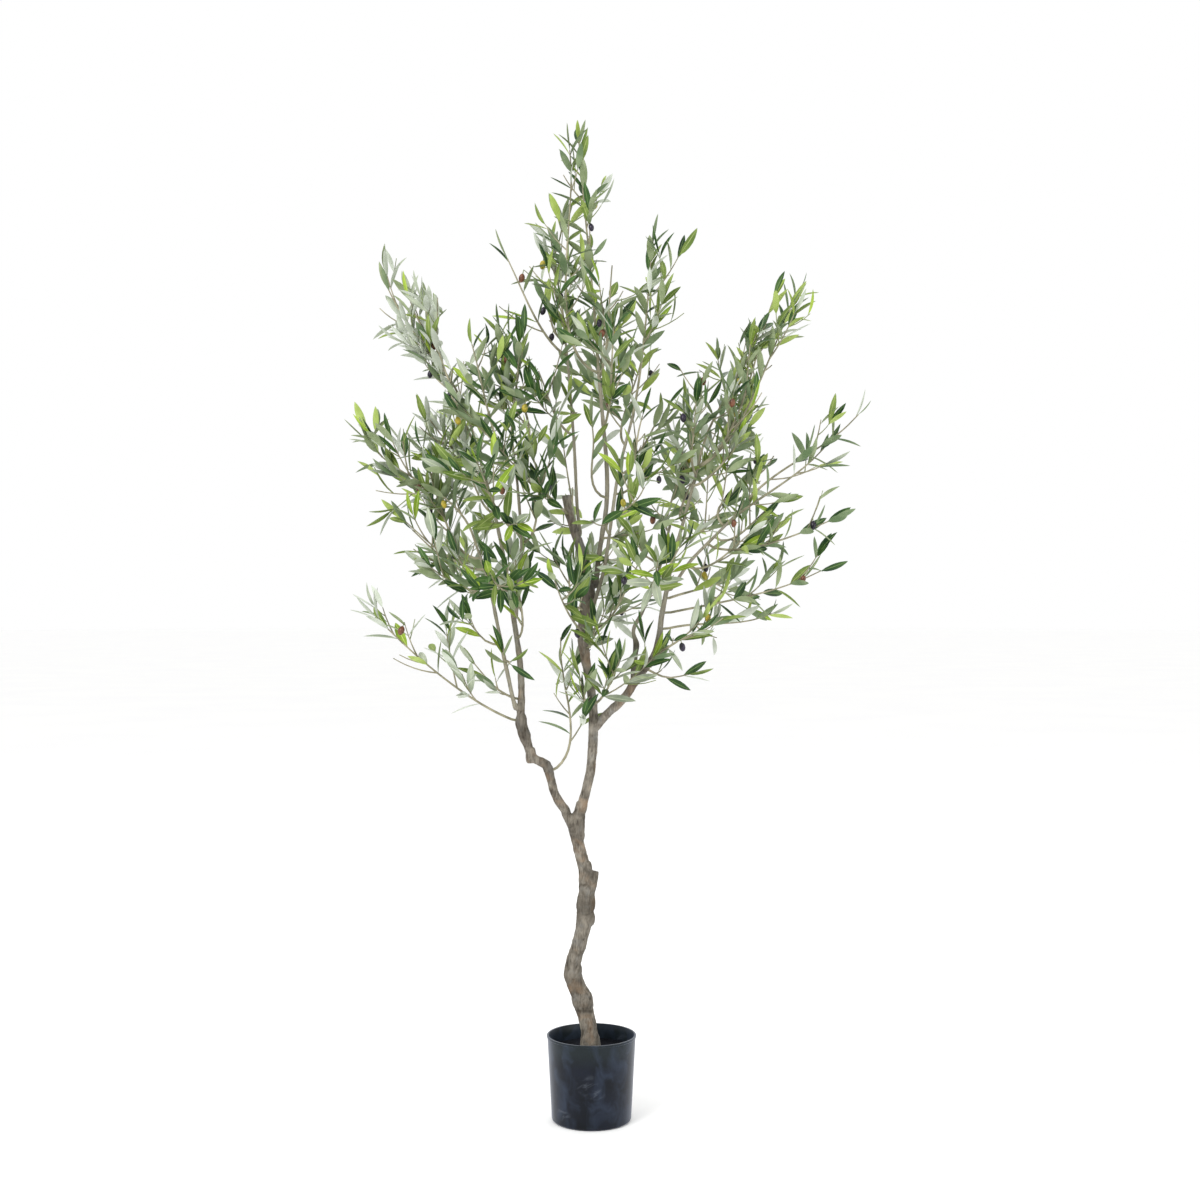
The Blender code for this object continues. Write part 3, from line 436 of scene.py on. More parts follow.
@dataclass
class Dye(Wiring):
    """A material's wiring, with the noises and tints that the finishes are mixed from."""

    place: Socket = field(init=False)

    def __post_init__(self) -> None:
        """Read the object's own coordinates."""
        self.place = self.out("ShaderNodeTexCoord", pick="Object")

    def attribute(self, name: str) -> Socket:
        """The socket of one of the mesh's own attributes."""
        return self.out("ShaderNodeAttribute", pick="Fac", attribute_name=name)

    def stretched(self, scale: Point) -> Socket:
        """The socket of the coordinates, multiplied along each axis."""
        return self.vector("MULTIPLY", self.place, scale)

    def noise(self, size: float, detail: float = 3.0, pull: float = 0.0,
              place: Socket | None = None) -> Socket:
        """Add a noise texture.

        Args:
            size: The size of one patch, in metres.
            detail: The finer octaves.
            pull: How far the patches are pulled about.
            place: Its coordinates, where they aren't the object's own.

        Returns:
            The socket of the noise, about 0.25 to 0.75.
        """
        return self.out("ShaderNodeTexNoise", {"Vector": place or self.place, "Scale": 1.0 / size,
                                               "Detail": detail, "Distortion": pull})

    def remap(self, value: Socket, before: Range, after: Range) -> Socket:
        """The socket of a value whose one range is mapped onto the other, clamped."""
        return self.out("ShaderNodeMapRange", dict(enumerate((value, *before, *after))))

    def ramp(self, value: Socket, deep: Colour, light: Colour, stops: Range = RAMP_STOPS) -> Socket:
        """Colour a value by a ramp.

        Args:
            value: The socket that picks the colour.
            deep: The tint of low values.
            light: The tint of high ones.
            stops: Where the two tints stand.

        Returns:
            The socket of the colour.
        """
        node = self.add("ShaderNodeValToRGB", {"Fac": value})
        for element, position, colour in zip(node.color_ramp.elements, stops, (deep, light)):
            element.position = position
            element.color = linear(colour)
        return node.outputs["Color"]

    def lay(self, base: Socket, colour: Colour, share: Socket) -> Socket:
        """The socket of a colour with a tint laid on it, as much as the share says."""
        return self.out("ShaderNodeMix", {0: share, 6: base, 7: linear(colour)}, 2, data_type="RGBA")


@dataclass(frozen=True)
class Finish:
    """A matt or satin surface: tints in soft patches, with a finer grain in its gloss and relief."""

    name: str
    # The darker and the lighter tint
    deep: Colour
    light: Colour
    # The size of the patches of tint and of the grain, and the depth of the grain
    patch: float
    grain: float
    relief: float
    # The lowest and the highest roughness, and the strength of the plain reflection
    roughness: Range = (0.5, 0.7)
    specular: float = 0.5

    def tint(self, dye: Dye) -> Socket:
        """The socket of the base colour."""
        return dye.ramp(dye.noise(self.patch), self.deep, self.light)

    def height(self, dye: Dye) -> Socket:
        """The socket of the fine grain, which gives both relief and gloss."""
        return dye.noise(self.grain, detail=4.0)

    def coats(self) -> dict[str, object]:
        """The shader's inputs for what lies over the surface."""
        return {}

    def material(self) -> Material:
        """Build the material.

        Returns:
            The new material.
        """
        made = bpy.data.materials.new(self.name)
        made.use_nodes = True
        made.diffuse_color = linear(self.light)
        dye = Dye(made.node_tree)
        grain = self.height(dye)
        bump = dye.out("ShaderNodeBump", {"Distance": self.relief, "Height": grain})
        gloss = dye.remap(grain, GLOSS_RANGE, self.roughness)
        dye.feed(made.node_tree.nodes["Principled BSDF"], {
            "Base Color": self.tint(dye), "Roughness": gloss, "Normal": bump,
            "Specular IOR Level": self.specular, **self.coats()})
        return made


@dataclass(frozen=True)
class BarkFinish(Finish):
    """Grey-brown bark: upright fibres, painted shade in its creases and low relief, pale patches of painted
    highlight, darker knots, paler and smoother on the thin stems.
    """

    # The tint of painted shade in creases, also laid on knots, of brown casts, of painted highlights in
    # random patches, and of thin stems
    crease_shade_tint: Colour = (50, 44, 37)
    warm: Colour = (146, 118, 90)
    highlight_tint: Colour = (150, 153, 152)
    young: Colour = (146, 142, 124)
    # The widths of the cracks and of the fibres' tints, and the size of the casts
    fibre: float = 0.0036
    strand: float = 0.00576
    cast: float = 0.0364
    # How cracks and fibres are stretched, so that they run up the limbs
    upright: Point = (1.0, 1.0, 0.30)
    # The grain's share of the height, and the blotches' share of the tint
    grain_share: float = 0.35
    blotch: float = 0.5
    # How much the brown casts, the painted highlights and the girth tint it, how much painted shade the low
    # relief gets, and how dark the painted crease shade and the knots are
    warm_fade: Fade = ((0.54, 0.72), (0.0, 0.5))
    highlight_fade: Fade = ((0.30, 0.45), (0.35, 0.0))
    young_fade: Fade = ((0.25, 0.62), (0.85, 0.0))
    relief_shade_fade: Fade = ((-0.55, -0.15), (0.5, 0.0))
    shade_and_knot_share: float = 0.72

    def height(self, dye: Dye) -> Socket:
        """The socket of the cracks that run up the limbs, over a fine grain."""
        cracks = dye.noise(self.fibre, detail=6.0, pull=0.8, place=dye.stretched(self.upright))
        return dye.math("MULTIPLY_ADD", dye.noise(self.grain), self.grain_share, cracks)

    def tint(self, dye: Dye) -> Socket:
        """Colour the bark by its fibres, its brown casts, painted highlights, painted shade in its creases
        and low relief, its knots and the limb's girth.

        Args:
            dye: The material's wiring.

        Returns:
            The socket of the base colour.
        """
        fibres = dye.noise(self.strand, detail=8.0, pull=1.0, place=dye.stretched(self.upright))
        blotches = dye.math("MULTIPLY", dye.noise(self.patch, detail=4.0), self.blotch)
        both = dye.math("ADD", dye.math("MULTIPLY", fibres, 1.0 - self.blotch), blotches)
        cast = dye.noise(self.cast, pull=0.5)
        bark = dye.ramp(both, self.deep, self.light)
        bark = dye.lay(bark, self.warm, dye.remap(cast, *self.warm_fade))
        # Pale blue-grey patches laid at random as painted highlights
        bark = dye.lay(bark, self.highlight_tint, dye.remap(cast, *self.highlight_fade))
        bark = dye.lay(bark, self.young, dye.remap(dye.attribute("girth"), *self.young_fade))
        # Painted shade: darker where the relief is low and in the trunk's pressed creases; also darker near
        # knots
        creases = dye.remap(dye.attribute("relief"), *self.relief_shade_fade)
        knots = dye.math("MULTIPLY", dye.attribute("knot"), self.shade_and_knot_share)
        return dye.lay(bark, self.crease_shade_tint, dye.math("MAXIMUM", creases, knots))


@dataclass(frozen=True)
class PotFinish(Finish):
    """Thin dark plastic with a dull gloss, smudges, a few scuffed places, a painted highlight at the upper
    right and a painted greenish reflection under the rim.
    """

    # The tints of the smudges, of the scratches and the painted highlight, and of the painted greenish
    # reflection under the rim
    smudge: Colour = (46, 56, 73)
    scratch_and_highlight: Colour = (96, 102, 112)
    foliage_reflection: Colour = (40, 50, 50)
    # The heights between which the painted reflection comes in
    foliage_reflection_fade: Fade = ((0.125, 0.158), (0.0, 0.35))
    # The smudges: their size, how they are stretched, and which of their noise shows
    cloud: float = 0.035
    cloud_shape: Point = (1.0, 1.0, 0.6)
    cloud_fade: Fade = ((0.46, 0.70), (0.0, 0.58))
    # The scratches and the painted highlight's streaks: the same, and their slant in radians
    wisp: float = 0.014
    wisp_shape: Point = (0.5, 0.5, 1.3)
    wisp_fade: Fade = ((0.50, 0.72), (0.0, 0.5))
    slant: float = 0.45
    # Where they lie: across, up and the radius, and the share of it that is full of them; the third, at the
    # upper right, is a painted highlight
    scuff_and_highlight_spots: tuple[Point, ...] = (
        (-0.008, 0.094, 0.026), (0.012, 0.074, 0.018), (0.066, 0.150, 0.014), (-0.058, 0.030, 0.018))
    scuff_core: float = 0.3
    # The gloss: its weight, roughness and index of refraction, low to be faint face on
    gloss: Point = (1.0, 0.34, 1.22)
    # The dust that shows at a slant: its weight and roughness
    dust: Range = (0.24, 0.40)
    dust_tint: Colour = (188, 202, 236)

    def coats(self) -> dict[str, object]:
        """The shader's inputs for the thin gloss and the dust."""
        names = ("Coat Weight", "Coat Roughness", "Coat IOR", "Sheen Weight", "Sheen Roughness", "Sheen Tint")
        return dict(zip(names, (*self.gloss, *self.dust, linear(self.dust_tint))))

    def scuffed_and_highlit(self, dye: Dye) -> Socket:
        """Mark the scuffed places and the painted highlight at the upper right.

        Args:
            dye: The material's wiring.

        Returns:
            The socket of how scuffed the surface is, from 0 to 1.
        """
        flat = dye.stretched((1.0, 0.0, 1.0))
        scuffed_and_highlit = 0.0
        for across, up, radius in self.scuff_and_highlight_spots:
            feeds = {0: flat, 1: (across, 0.0, up)}
            away = dye.out("ShaderNodeVectorMath", feeds, "Value", operation="DISTANCE")
            scuffed_and_highlit = dye.math("MAXIMUM", scuffed_and_highlit, dye.remap(away, (self.scuff_core * radius, radius), (1.0, 0.0)))
        return scuffed_and_highlit

    def tint(self, dye: Dye) -> Socket:
        """Colour the plastic, then lay the painted greenish reflection under the rim, the smudges, and the
        scratches and painted highlight on it.

        Args:
            dye: The material's wiring.

        Returns:
            The socket of the base colour.
        """
        height = dye.out("ShaderNodeSeparateXYZ", {0: dye.place}, "Z")
        # Painted reflection: a faint greenish band of the foliage under the rim
        plastic = dye.lay(super().tint(dye), self.foliage_reflection, dye.remap(height, *self.foliage_reflection_fade))
        cloud = dye.noise(self.cloud, detail=6.0, pull=0.8, place=dye.stretched(self.cloud_shape))
        plastic = dye.lay(plastic, self.smudge, dye.remap(cloud, *self.cloud_fade))
        feeds = {"Vector": dye.place, "Angle": self.slant}
        slanted = dye.out("ShaderNodeVectorRotate", feeds, rotation_type="Y_AXIS")
        place = dye.vector("MULTIPLY", slanted, self.wisp_shape)
        wisps = dye.remap(dye.noise(self.wisp, detail=6.0, pull=0.6, place=place), *self.wisp_fade)
        # Streaks of the scratch tint, which at the upper right make a painted highlight
        return dye.lay(plastic, self.scratch_and_highlight, dye.math("MULTIPLY", wisps, self.scuffed_and_highlit(dye)))


@dataclass(frozen=True)
class OliveFinish(Finish):
    """Smooth olive skin with a thin dusty bloom."""

    patch: float = 0.012
    grain: float = 0.0012
    relief: float = 0.00006
    specular: float = 0.35
    # The bloom's tint, where the skin's two tints stand, and the bloom's specks
    bloom: Colour = (92, 92, 104)
    stops: Range = (0.36, 0.64)
    speck: float = 0.006
    speck_fade: Fade = ((0.5, 0.75), (0.0, 0.35))

    def tint(self, dye: Dye) -> Socket:
        """The socket of the skin's patches, dusted with bloom."""
        skin = dye.ramp(dye.noise(self.patch), self.deep, self.light, self.stops)
        return dye.lay(skin, self.bloom, dye.remap(dye.noise(self.speck, detail=4.0), *self.speck_fade))


@dataclass(frozen=True)
class LeafFinish:
    """The tints of one kind of leaf: deep and light, for its upper side, its underside and its midrib."""

    tone: LeafTone
    tints: tuple[tuple[Colour, Colour], ...]

    def materials(self) -> dict[str, Material]:
        """Build the kind's materials.

        Returns:
            The material for each input of the leaf recipe.
        """
        return {part: Finish("leaf_" + self.tone.value + suffix, *tints, *rest).material()
                for (part, suffix, *rest), tints in zip(LEAF_PARTS, self.tints)}


# The parts of a leaf: the recipe's input, the end of the material's name, and the rest of its finish
LEAF_PARTS = (
    ("Material", "", 0.045, 0.0012, 0.00012, (0.42, 0.6), 0.22),
    ("under", "_under", 0.045, 0.0010, 0.00010, (0.68, 0.85), 0.15),
    ("rib", "_rib", 0.030, 0.0010, 0.00008, (0.5, 0.65), 0.2),
)
LEAF_FINISHES = (
    LeafFinish(LeafTone.DARK, (((28, 56, 27), (66, 98, 46)), ((95, 116, 82), (132, 147, 113)),
                               ((88, 116, 62), (120, 142, 86)))),
    LeafFinish(LeafTone.MID, (((84, 107, 42), (127, 146, 74)), ((121, 136, 96), (156, 168, 133)),
                              ((138, 154, 88), (162, 176, 110)))),
    LeafFinish(LeafTone.GREY, (((134, 145, 124), (177, 184, 164)), ((172, 180, 162), (204, 210, 198)),
                               ((172, 183, 153), (196, 205, 177)))),
    LeafFinish(LeafTone.LIME, (((110, 140, 32), (158, 182, 68)), ((140, 160, 78), (172, 190, 112)),
                               ((168, 186, 90), (188, 204, 118)))),
)
OLIVE_FINISHES = {
    tone: OliveFinish("olive_" + tone.value, deep, light, roughness=roughness, bloom=bloom)
    for tone, deep, light, roughness, bloom in (
        (OliveTone.BLACK, (18, 16, 24), (42, 34, 52), (0.22, 0.4), (72, 70, 88)),
        (OliveTone.RED, (66, 36, 30), (124, 78, 52), (0.25, 0.42), (134, 100, 86)),
        (OliveTone.YELLOW, (118, 116, 34), (184, 162, 52), (0.28, 0.45), (186, 174, 98)))
}
BARK = BarkFinish("bark", (58, 53, 46), (149, 142, 130), 0.026, 0.0022, 0.0014, (0.8, 0.95), 0.15)
STEM_BARK = Finish("stem_bark", (112, 110, 88), (166, 160, 136), 0.030, 0.0015, 0.00025, (0.65, 0.85), 0.2)
SHOOT_BARK = Finish("shoot_bark", (94, 108, 58), (142, 150, 104), 0.040, 0.0012, 0.00015, (0.55, 0.75), 0.2)
PLASTIC = PotFinish("pot_plastic", (5, 9, 15), (14, 20, 32), 0.060, 0.0022, 0.00012, (0.4, 0.6), 0.05)
# The cement's near-black, bluish tint is partly its own dark colour and partly painted shade from inside the
# pot
CEMENT_WITH_PAINTED_SHADE = Finish("cement", (11, 13, 18), (24, 26, 33), 0.018, 0.0020, 0.0012, (0.88, 0.98), 0.1)
FLOOR = Finish("floor_paint", (253, 253, 253), (255, 255, 254), 0.9, 0.004, 0.00005, (0.75, 0.9), 0.1)


@dataclass
class Recipe:
    """A Geometry Nodes tree with named inputs, which ends in Realize Instances and Set Material."""

    name: str
    # The kind of each input besides the geometry and the material
    inputs: dict[str, str]
    # The face attributes with a material of their own, from inputs of the same names
    parts: tuple[str, ...] = ()
    tree: NodeTree = field(init=False)
    wires: Wiring = field(init=False)
    # The inputs' sockets and identifiers by name
    given: NodeOutputs = field(init=False)
    keys: dict[str, str] = field(init=False, default_factory=dict)

    def __post_init__(self) -> None:
        """Make the tree's inputs and output."""
        self.tree = bpy.data.node_groups.new(self.name, "GeometryNodeTree")
        self.tree.is_modifier = True
        new_socket = self.tree.interface.new_socket
        new_socket("Geometry", in_out="OUTPUT", socket_type="NodeSocketGeometry")
        materials = dict.fromkeys(("Material", *self.parts), "Material")
        for name, kind in {"Geometry": "Geometry", **self.inputs, **materials}.items():
            self.keys[name] = new_socket(name, in_out="INPUT", socket_type="NodeSocket" + kind).identifier
        self.wires = Wiring(self.tree)
        self.given = self.wires.add("NodeGroupInput").outputs

    def attribute(self, name: str, kind: str = "FLOAT") -> Socket:
        """The socket of an attribute of the geometry."""
        return self.wires.out("GeometryNodeInputNamedAttribute", {"Name": name}, data_type=kind)

    def finish(self, shape: Socket) -> None:
        """Shade the geometry smooth, realize it and set its materials.

        Args:
            shape: The geometry so far.
        """
        wires = self.wires
        shape = wires.out("GeometryNodeSetShadeSmooth", {0: shape})
        shape = wires.out("GeometryNodeRealizeInstances", {0: shape})
        shape = wires.out("GeometryNodeSetMaterial", {0: shape, "Material": self.given["Material"]})
        for part in self.parts:
            feeds = {0: shape, "Selection": self.attribute(part, "BOOLEAN"), "Material": self.given[part]}
            shape = wires.out("GeometryNodeSetMaterial", feeds)
        wires.add("NodeGroupOutput", {0: shape})

    def run(self, made: Object, values: dict[str, object]) -> None:
        """Run the tree on an object and leave the result as its plain mesh.

        Args:
            made: The object.
            values: The value of each named input.
        """
        modifier = made.modifiers.new(self.name, "NODES")
        modifier.node_group = self.tree
        for name, value in values.items():
            modifier[self.keys[name]] = value
        settle(made)


def settle(made: Object) -> None:
    """Turn an object's modifiers into its plain mesh and drop the attributes that only guided them.

    Args:
        made: The object.
    """
    mesh = bpy.data.meshes.new_from_object(made.evaluated_get(bpy.context.evaluated_depsgraph_get()))
    made.modifiers.clear()
    made.data = mesh
    mesh.name = made.name
    for name in [item.name for item in mesh.attributes if item.name in GUIDES]:
        mesh.attributes.remove(mesh.attributes[name])


def add_object(name: str, data: ID, finish: Finish | None = None) -> Object:
    """Add an object to the scene.

    Args:
        name: Its name.
        data: Its mesh, camera or light.
        finish: A mesh's finish, where no recipe sets one.

    Returns:
        The new object.
    """
    made = bpy.data.objects.new(name, data)
    bpy.context.scene.collection.objects.link(made)
    if finish:
        data.materials.append(finish.material())
    return made


def add_attribute(mesh: Mesh, name: str, kind: str, values: object, domain: str = "POINT") -> None:
    """Store an attribute on a mesh.

    Args:
        mesh: The mesh.
        name: The attribute's name.
        kind: Its data type.
        values: One value or vector for each element.
        domain: What it is stored on.
    """
    made = mesh.attributes.new(name, kind, domain)
    made.data.foreach_set("vector" if kind == "FLOAT_VECTOR" else "value", np.ravel(values))


def keep_piece(made: Object, nodes: list[str]) -> None:
    """Attach a finished piece to the root body, hide the CAD nodes that it stands for, and log it.

    Args:
        made: The piece.
        nodes: The CAD nodes that it stands for.
    """
    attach(made, "root")
    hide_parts(*nodes)
    LOG.info("%s: %d faces, for %d nodes", made.name, len(made.data.polygons), len(nodes))


def closed_mesh(name: str, points: list[Point], faces: list[tuple[int, ...]]) -> Mesh:
    """Make the mesh of a closed body, its normals outward.

    Args:
        name: The mesh's name.
        points: Its points.
        faces: Its faces, whichever way round.

    Returns:
        The mesh.
    """
    mesh = bpy.data.meshes.new(name)
    mesh.from_pydata(points, [], faces)
    bm = bmesh.new()
    bm.from_mesh(mesh)
    bmesh.ops.recalc_face_normals(bm, faces=bm.faces)
    bm.to_mesh(mesh)
    bm.free()
    return mesh


def turned_mesh(name: str, section: list[Range], segments: int) -> Mesh:
    """Turn a section about the Z axis into a closed body.

    Args:
        name: The mesh's name.
        section: Radii and heights; the first and last lie on the axis.
        segments: The steps round the axis.

    Returns:
        The mesh, shaded smooth but for its hard edges.
    """
    points, rings, faces = [], [], []
    for radius, height in section:
        count = segments if radius else 1
        rings.append(range(len(points), len(points) + count))
        angles = [FULL_TURN * step / segments for step in range(count)]
        points += [(radius * math.cos(angle), radius * math.sin(angle), height) for angle in angles]
    for upper, lower in zip(rings, rings[1:]):
        for step in range(segments):
            after = (step + 1) % segments
            corners = (upper[step % len(upper)], lower[step % len(lower)],
                       lower[after % len(lower)], upper[after % len(upper)])
            faces.append(tuple(dict.fromkeys(corners)))
    mesh = closed_mesh(name, points, faces)
    mesh.shade_smooth()
    mesh.set_sharp_from_angle(angle=SHARP_ANGLE)
    return mesh


def smooth_path(points: list[Vector]) -> list[Vector]:
    """Run a centripetal curve through points, as the part's source does.

    Args:
        points: The bends.

    Returns:
        A dense list of points along the curve.
    """
    ends = [points[0] * 2.0 - points[1], *points, points[-1] * 2.0 - points[-2]]
    dense = []
    for a, b, c, d in zip(ends, ends[1:], ends[2:], ends[3:]):
        t1 = math.sqrt((b - a).length)
        t2 = t1 + math.sqrt((c - b).length)
        t3 = t2 + math.sqrt((d - c).length)
        for step in range(PATH_STEPS):
            t = t1 + (t2 - t1) * step / PATH_STEPS
            ab = a.lerp(b, t / t1)
            bc = b.lerp(c, (t - t1) / (t2 - t1))
            cd = c.lerp(d, (t - t2) / (t3 - t2))
            abc = ab.lerp(bc, t / t2)
            bcd = bc.lerp(cd, (t - t1) / (t3 - t1))
            dense.append(abc.lerp(bcd, (t - t1) / (t2 - t1)))
    return [*dense, points[-1].copy()]


def around(direction: Vector, angle: float) -> Vector:
    """The unit vector square to a direction, turned about it.

    Args:
        direction: A unit vector.
        angle: The turn, in radians.

    Returns:
        The unit vector.
    """
    level = UP if abs(direction.z) < NEARLY_UPRIGHT else Vector((1.0, 0.0, 0.0))
    first = direction.cross(level).normalized()
    return first * math.cos(angle) + direction.cross(first) * math.sin(angle)


def splayed(direction: Vector, turn: float, spread: float) -> tuple[Vector, Vector]:
    """Lean away from a direction.

    Args:
        direction: A unit vector.
        turn: Which way to lean, as a turn about it in radians.
        spread: How far, in radians.

    Returns:
        The way that leads, and the way square to it that looks back in toward the direction.
    """
    side = around(direction, turn)
    return (direction * math.cos(spread) + side * math.sin(spread),
            direction * math.sin(spread) - side * math.cos(spread))


@dataclass
class Axis:
    """A centre line, read by its share of the length."""

    points: list[Vector]
    reach: np.ndarray = field(init=False)
    length: float = field(init=False)

    def __post_init__(self) -> None:
        """Measure the line."""
        steps = [(b - a).length for a, b in zip(self.points, self.points[1:])]
        self.reach = np.concatenate(([0.0], np.cumsum(steps)))
        self.length = float(self.reach[-1])

    def at(self, share: float) -> tuple[Vector, Vector]:
        """Read the line.

        Args:
            share: The share of the length.

        Returns:
            The point and the direction there.
        """
        distance = min(max(share, 0.0), 1.0) * self.length
        index = int(np.searchsorted(self.reach, distance, side="right")) - 1
        index = min(max(index, 0), len(self.points) - 2)
        a, b = self.points[index], self.points[index + 1]
        span = self.reach[index + 1] - self.reach[index]
        return a.lerp(b, (distance - self.reach[index]) / span), (b - a).normalized()

    def rings(self, count: int) -> list[Vector]:
        """Evenly spaced points along the line, its ends included."""
        return [self.at(step / (count - 1))[0] for step in range(count)]


@dataclass
class Strand:
    """A round limb, stem or twig: the points of its centre line, and its radius at each."""

    points: list[Vector]
    radii: list[float]


def strand_mesh(name: str, strands: list[Strand]) -> Mesh:
    """Join strands into one mesh of edges that carries their radii.

    Args:
        name: The mesh's name.
        strands: The strands.

    Returns:
        The mesh, for the tube recipe.
    """
    points, edges, radii = [], [], []
    for strand in strands:
        first = len(points)
        points += strand.points
        radii += strand.radii
        edges += [(first + i, first + i + 1) for i in range(len(strand.points) - 1)]
    mesh = bpy.data.meshes.new(name)
    mesh.from_pydata(points, edges, [])
    add_attribute(mesh, "radius", "FLOAT", radii)
    return mesh


def tube_recipe() -> Recipe:
    """Build the tree that carries a round section along each strand.

    Returns:
        The recipe, with Sides for the section.
    """
    recipe = Recipe("tubes_along_strands", {"Sides": "Int"})
    wires, given = recipe.wires, recipe.given
    line = wires.out("GeometryNodeMeshToCurve", {0: given["Geometry"]})
    section = wires.out("GeometryNodeCurvePrimitiveCircle", {"Resolution": given["Sides"], "Radius": 1.0})
    recipe.finish(wires.out("GeometryNodeCurveToMesh", {
        "Curve": line, "Profile Curve": section, "Scale": recipe.attribute("radius"), "Fill Caps": True}))
    return recipe


def scatter_recipe(name: str, parts: tuple[str, ...]) -> Recipe:
    """Build the tree that sets a shape on every point, turned and sized by the point's attributes.

    Args:
        name: The tree's name.
        parts: The shape's face attributes that have a material of their own.

    Returns:
        The recipe, with Shapes, Width, Depth and Length.
    """
    sizes = ("Width", "Depth", "Length")
    recipe = Recipe(name, {"Shapes": "Collection", **dict.fromkeys(sizes, "Float")}, parts)
    wires, given = recipe.wires, recipe.given
    shapes = wires.out("GeometryNodeCollectionInfo", {
        "Collection": given["Shapes"], "Separate Children": True, "Reset Children": True})
    size = wires.out("ShaderNodeCombineXYZ", {place: given[size] for place, size in enumerate(sizes)})
    turn = wires.out("FunctionNodeEulerToRotation", {0: recipe.attribute("turn", "FLOAT_VECTOR")})
    recipe.finish(wires.out("GeometryNodeInstanceOnPoints", {
        "Points": given["Geometry"], "Instance": shapes, "Pick Instance": True,
        "Instance Index": recipe.attribute("shape", "INT"), "Rotation": turn,
        "Scale": wires.vector("MULTIPLY", size, recipe.attribute("size", "FLOAT_VECTOR"))}))
    return recipe


def relief_recipe() -> Recipe:
    """Build the tree that works the bark's relief into the limbs' surface.

    Returns:
        The recipe, with the depth, size and share of the ridges and of the lumps.
    """
    names = ("Ridge Depth", "Ridge Size", "Ridge Share", "Ridge Stretch", "Lump Depth", "Lump Size",
             "Lump Share", "Seed")
    recipe = Recipe("bark_relief", dict.fromkeys(names, "Float"))
    wires, given = recipe.wires, recipe.given
    place = wires.out("GeometryNodeInputPosition")
    squeeze = wires.out("ShaderNodeCombineXYZ", {0: 1.0, 1: 1.0, 2: given["Ridge Stretch"]})

    def layer(kind: str, where: Socket, detail: float) -> Socket:
        """Add one layer of noise.

        Args:
            kind: Which layer.
            where: Its coordinates.
            detail: Its finer octaves.

        Returns:
            The socket of the noise, stretched to run from about -1 to 1.
        """
        scale = wires.math("DIVIDE", 1.0, given[kind + " Size"])
        feeds = {"Vector": where, "W": given["Seed"], "Scale": scale, "Detail": detail}
        noise = wires.out("ShaderNodeTexNoise", feeds, noise_dimensions="4D")
        return wires.math("MULTIPLY", wires.math("SUBTRACT", noise, 0.5), 4.0)

    layers = {"Ridge": layer("Ridge", wires.vector("MULTIPLY", place, squeeze), detail=4.0),
              "Lump": layer("Lump", place, detail=2.0)}

    def both(what: str) -> Socket:
        """The socket of the two layers' sum, each times its depth or its share."""
        return wires.math("ADD", *(wires.math("MULTIPLY", noise, given[kind + what])
                                   for kind, noise in layers.items()))

    deep = wires.math("MULTIPLY", both(" Depth"), recipe.attribute("girth"))
    feeds = {0: wires.out("GeometryNodeInputNormal"), "Scale": deep}
    offset = wires.out("ShaderNodeVectorMath", feeds, operation="SCALE")
    moved = wires.out("GeometryNodeSetPosition", {"Geometry": given["Geometry"], "Offset": offset})
    feeds = {"Geometry": moved, "Name": "relief", "Value": both(" Share")}
    recipe.finish(wires.out("GeometryNodeStoreNamedAttribute", feeds, data_type="FLOAT", domain="POINT"))
    return recipe


@dataclass
class Seat:
    """Where a limb or spray starts: a flat place on its parent, and the way that it faces."""

    place: Vector
    facing: Vector

    def lead(self) -> list[Vector]:
        """The first two points of what grows here, straight off the seat."""
        start = self.place + self.facing * CLEARANCE
        return [start, start + self.facing * LEAD_IN]


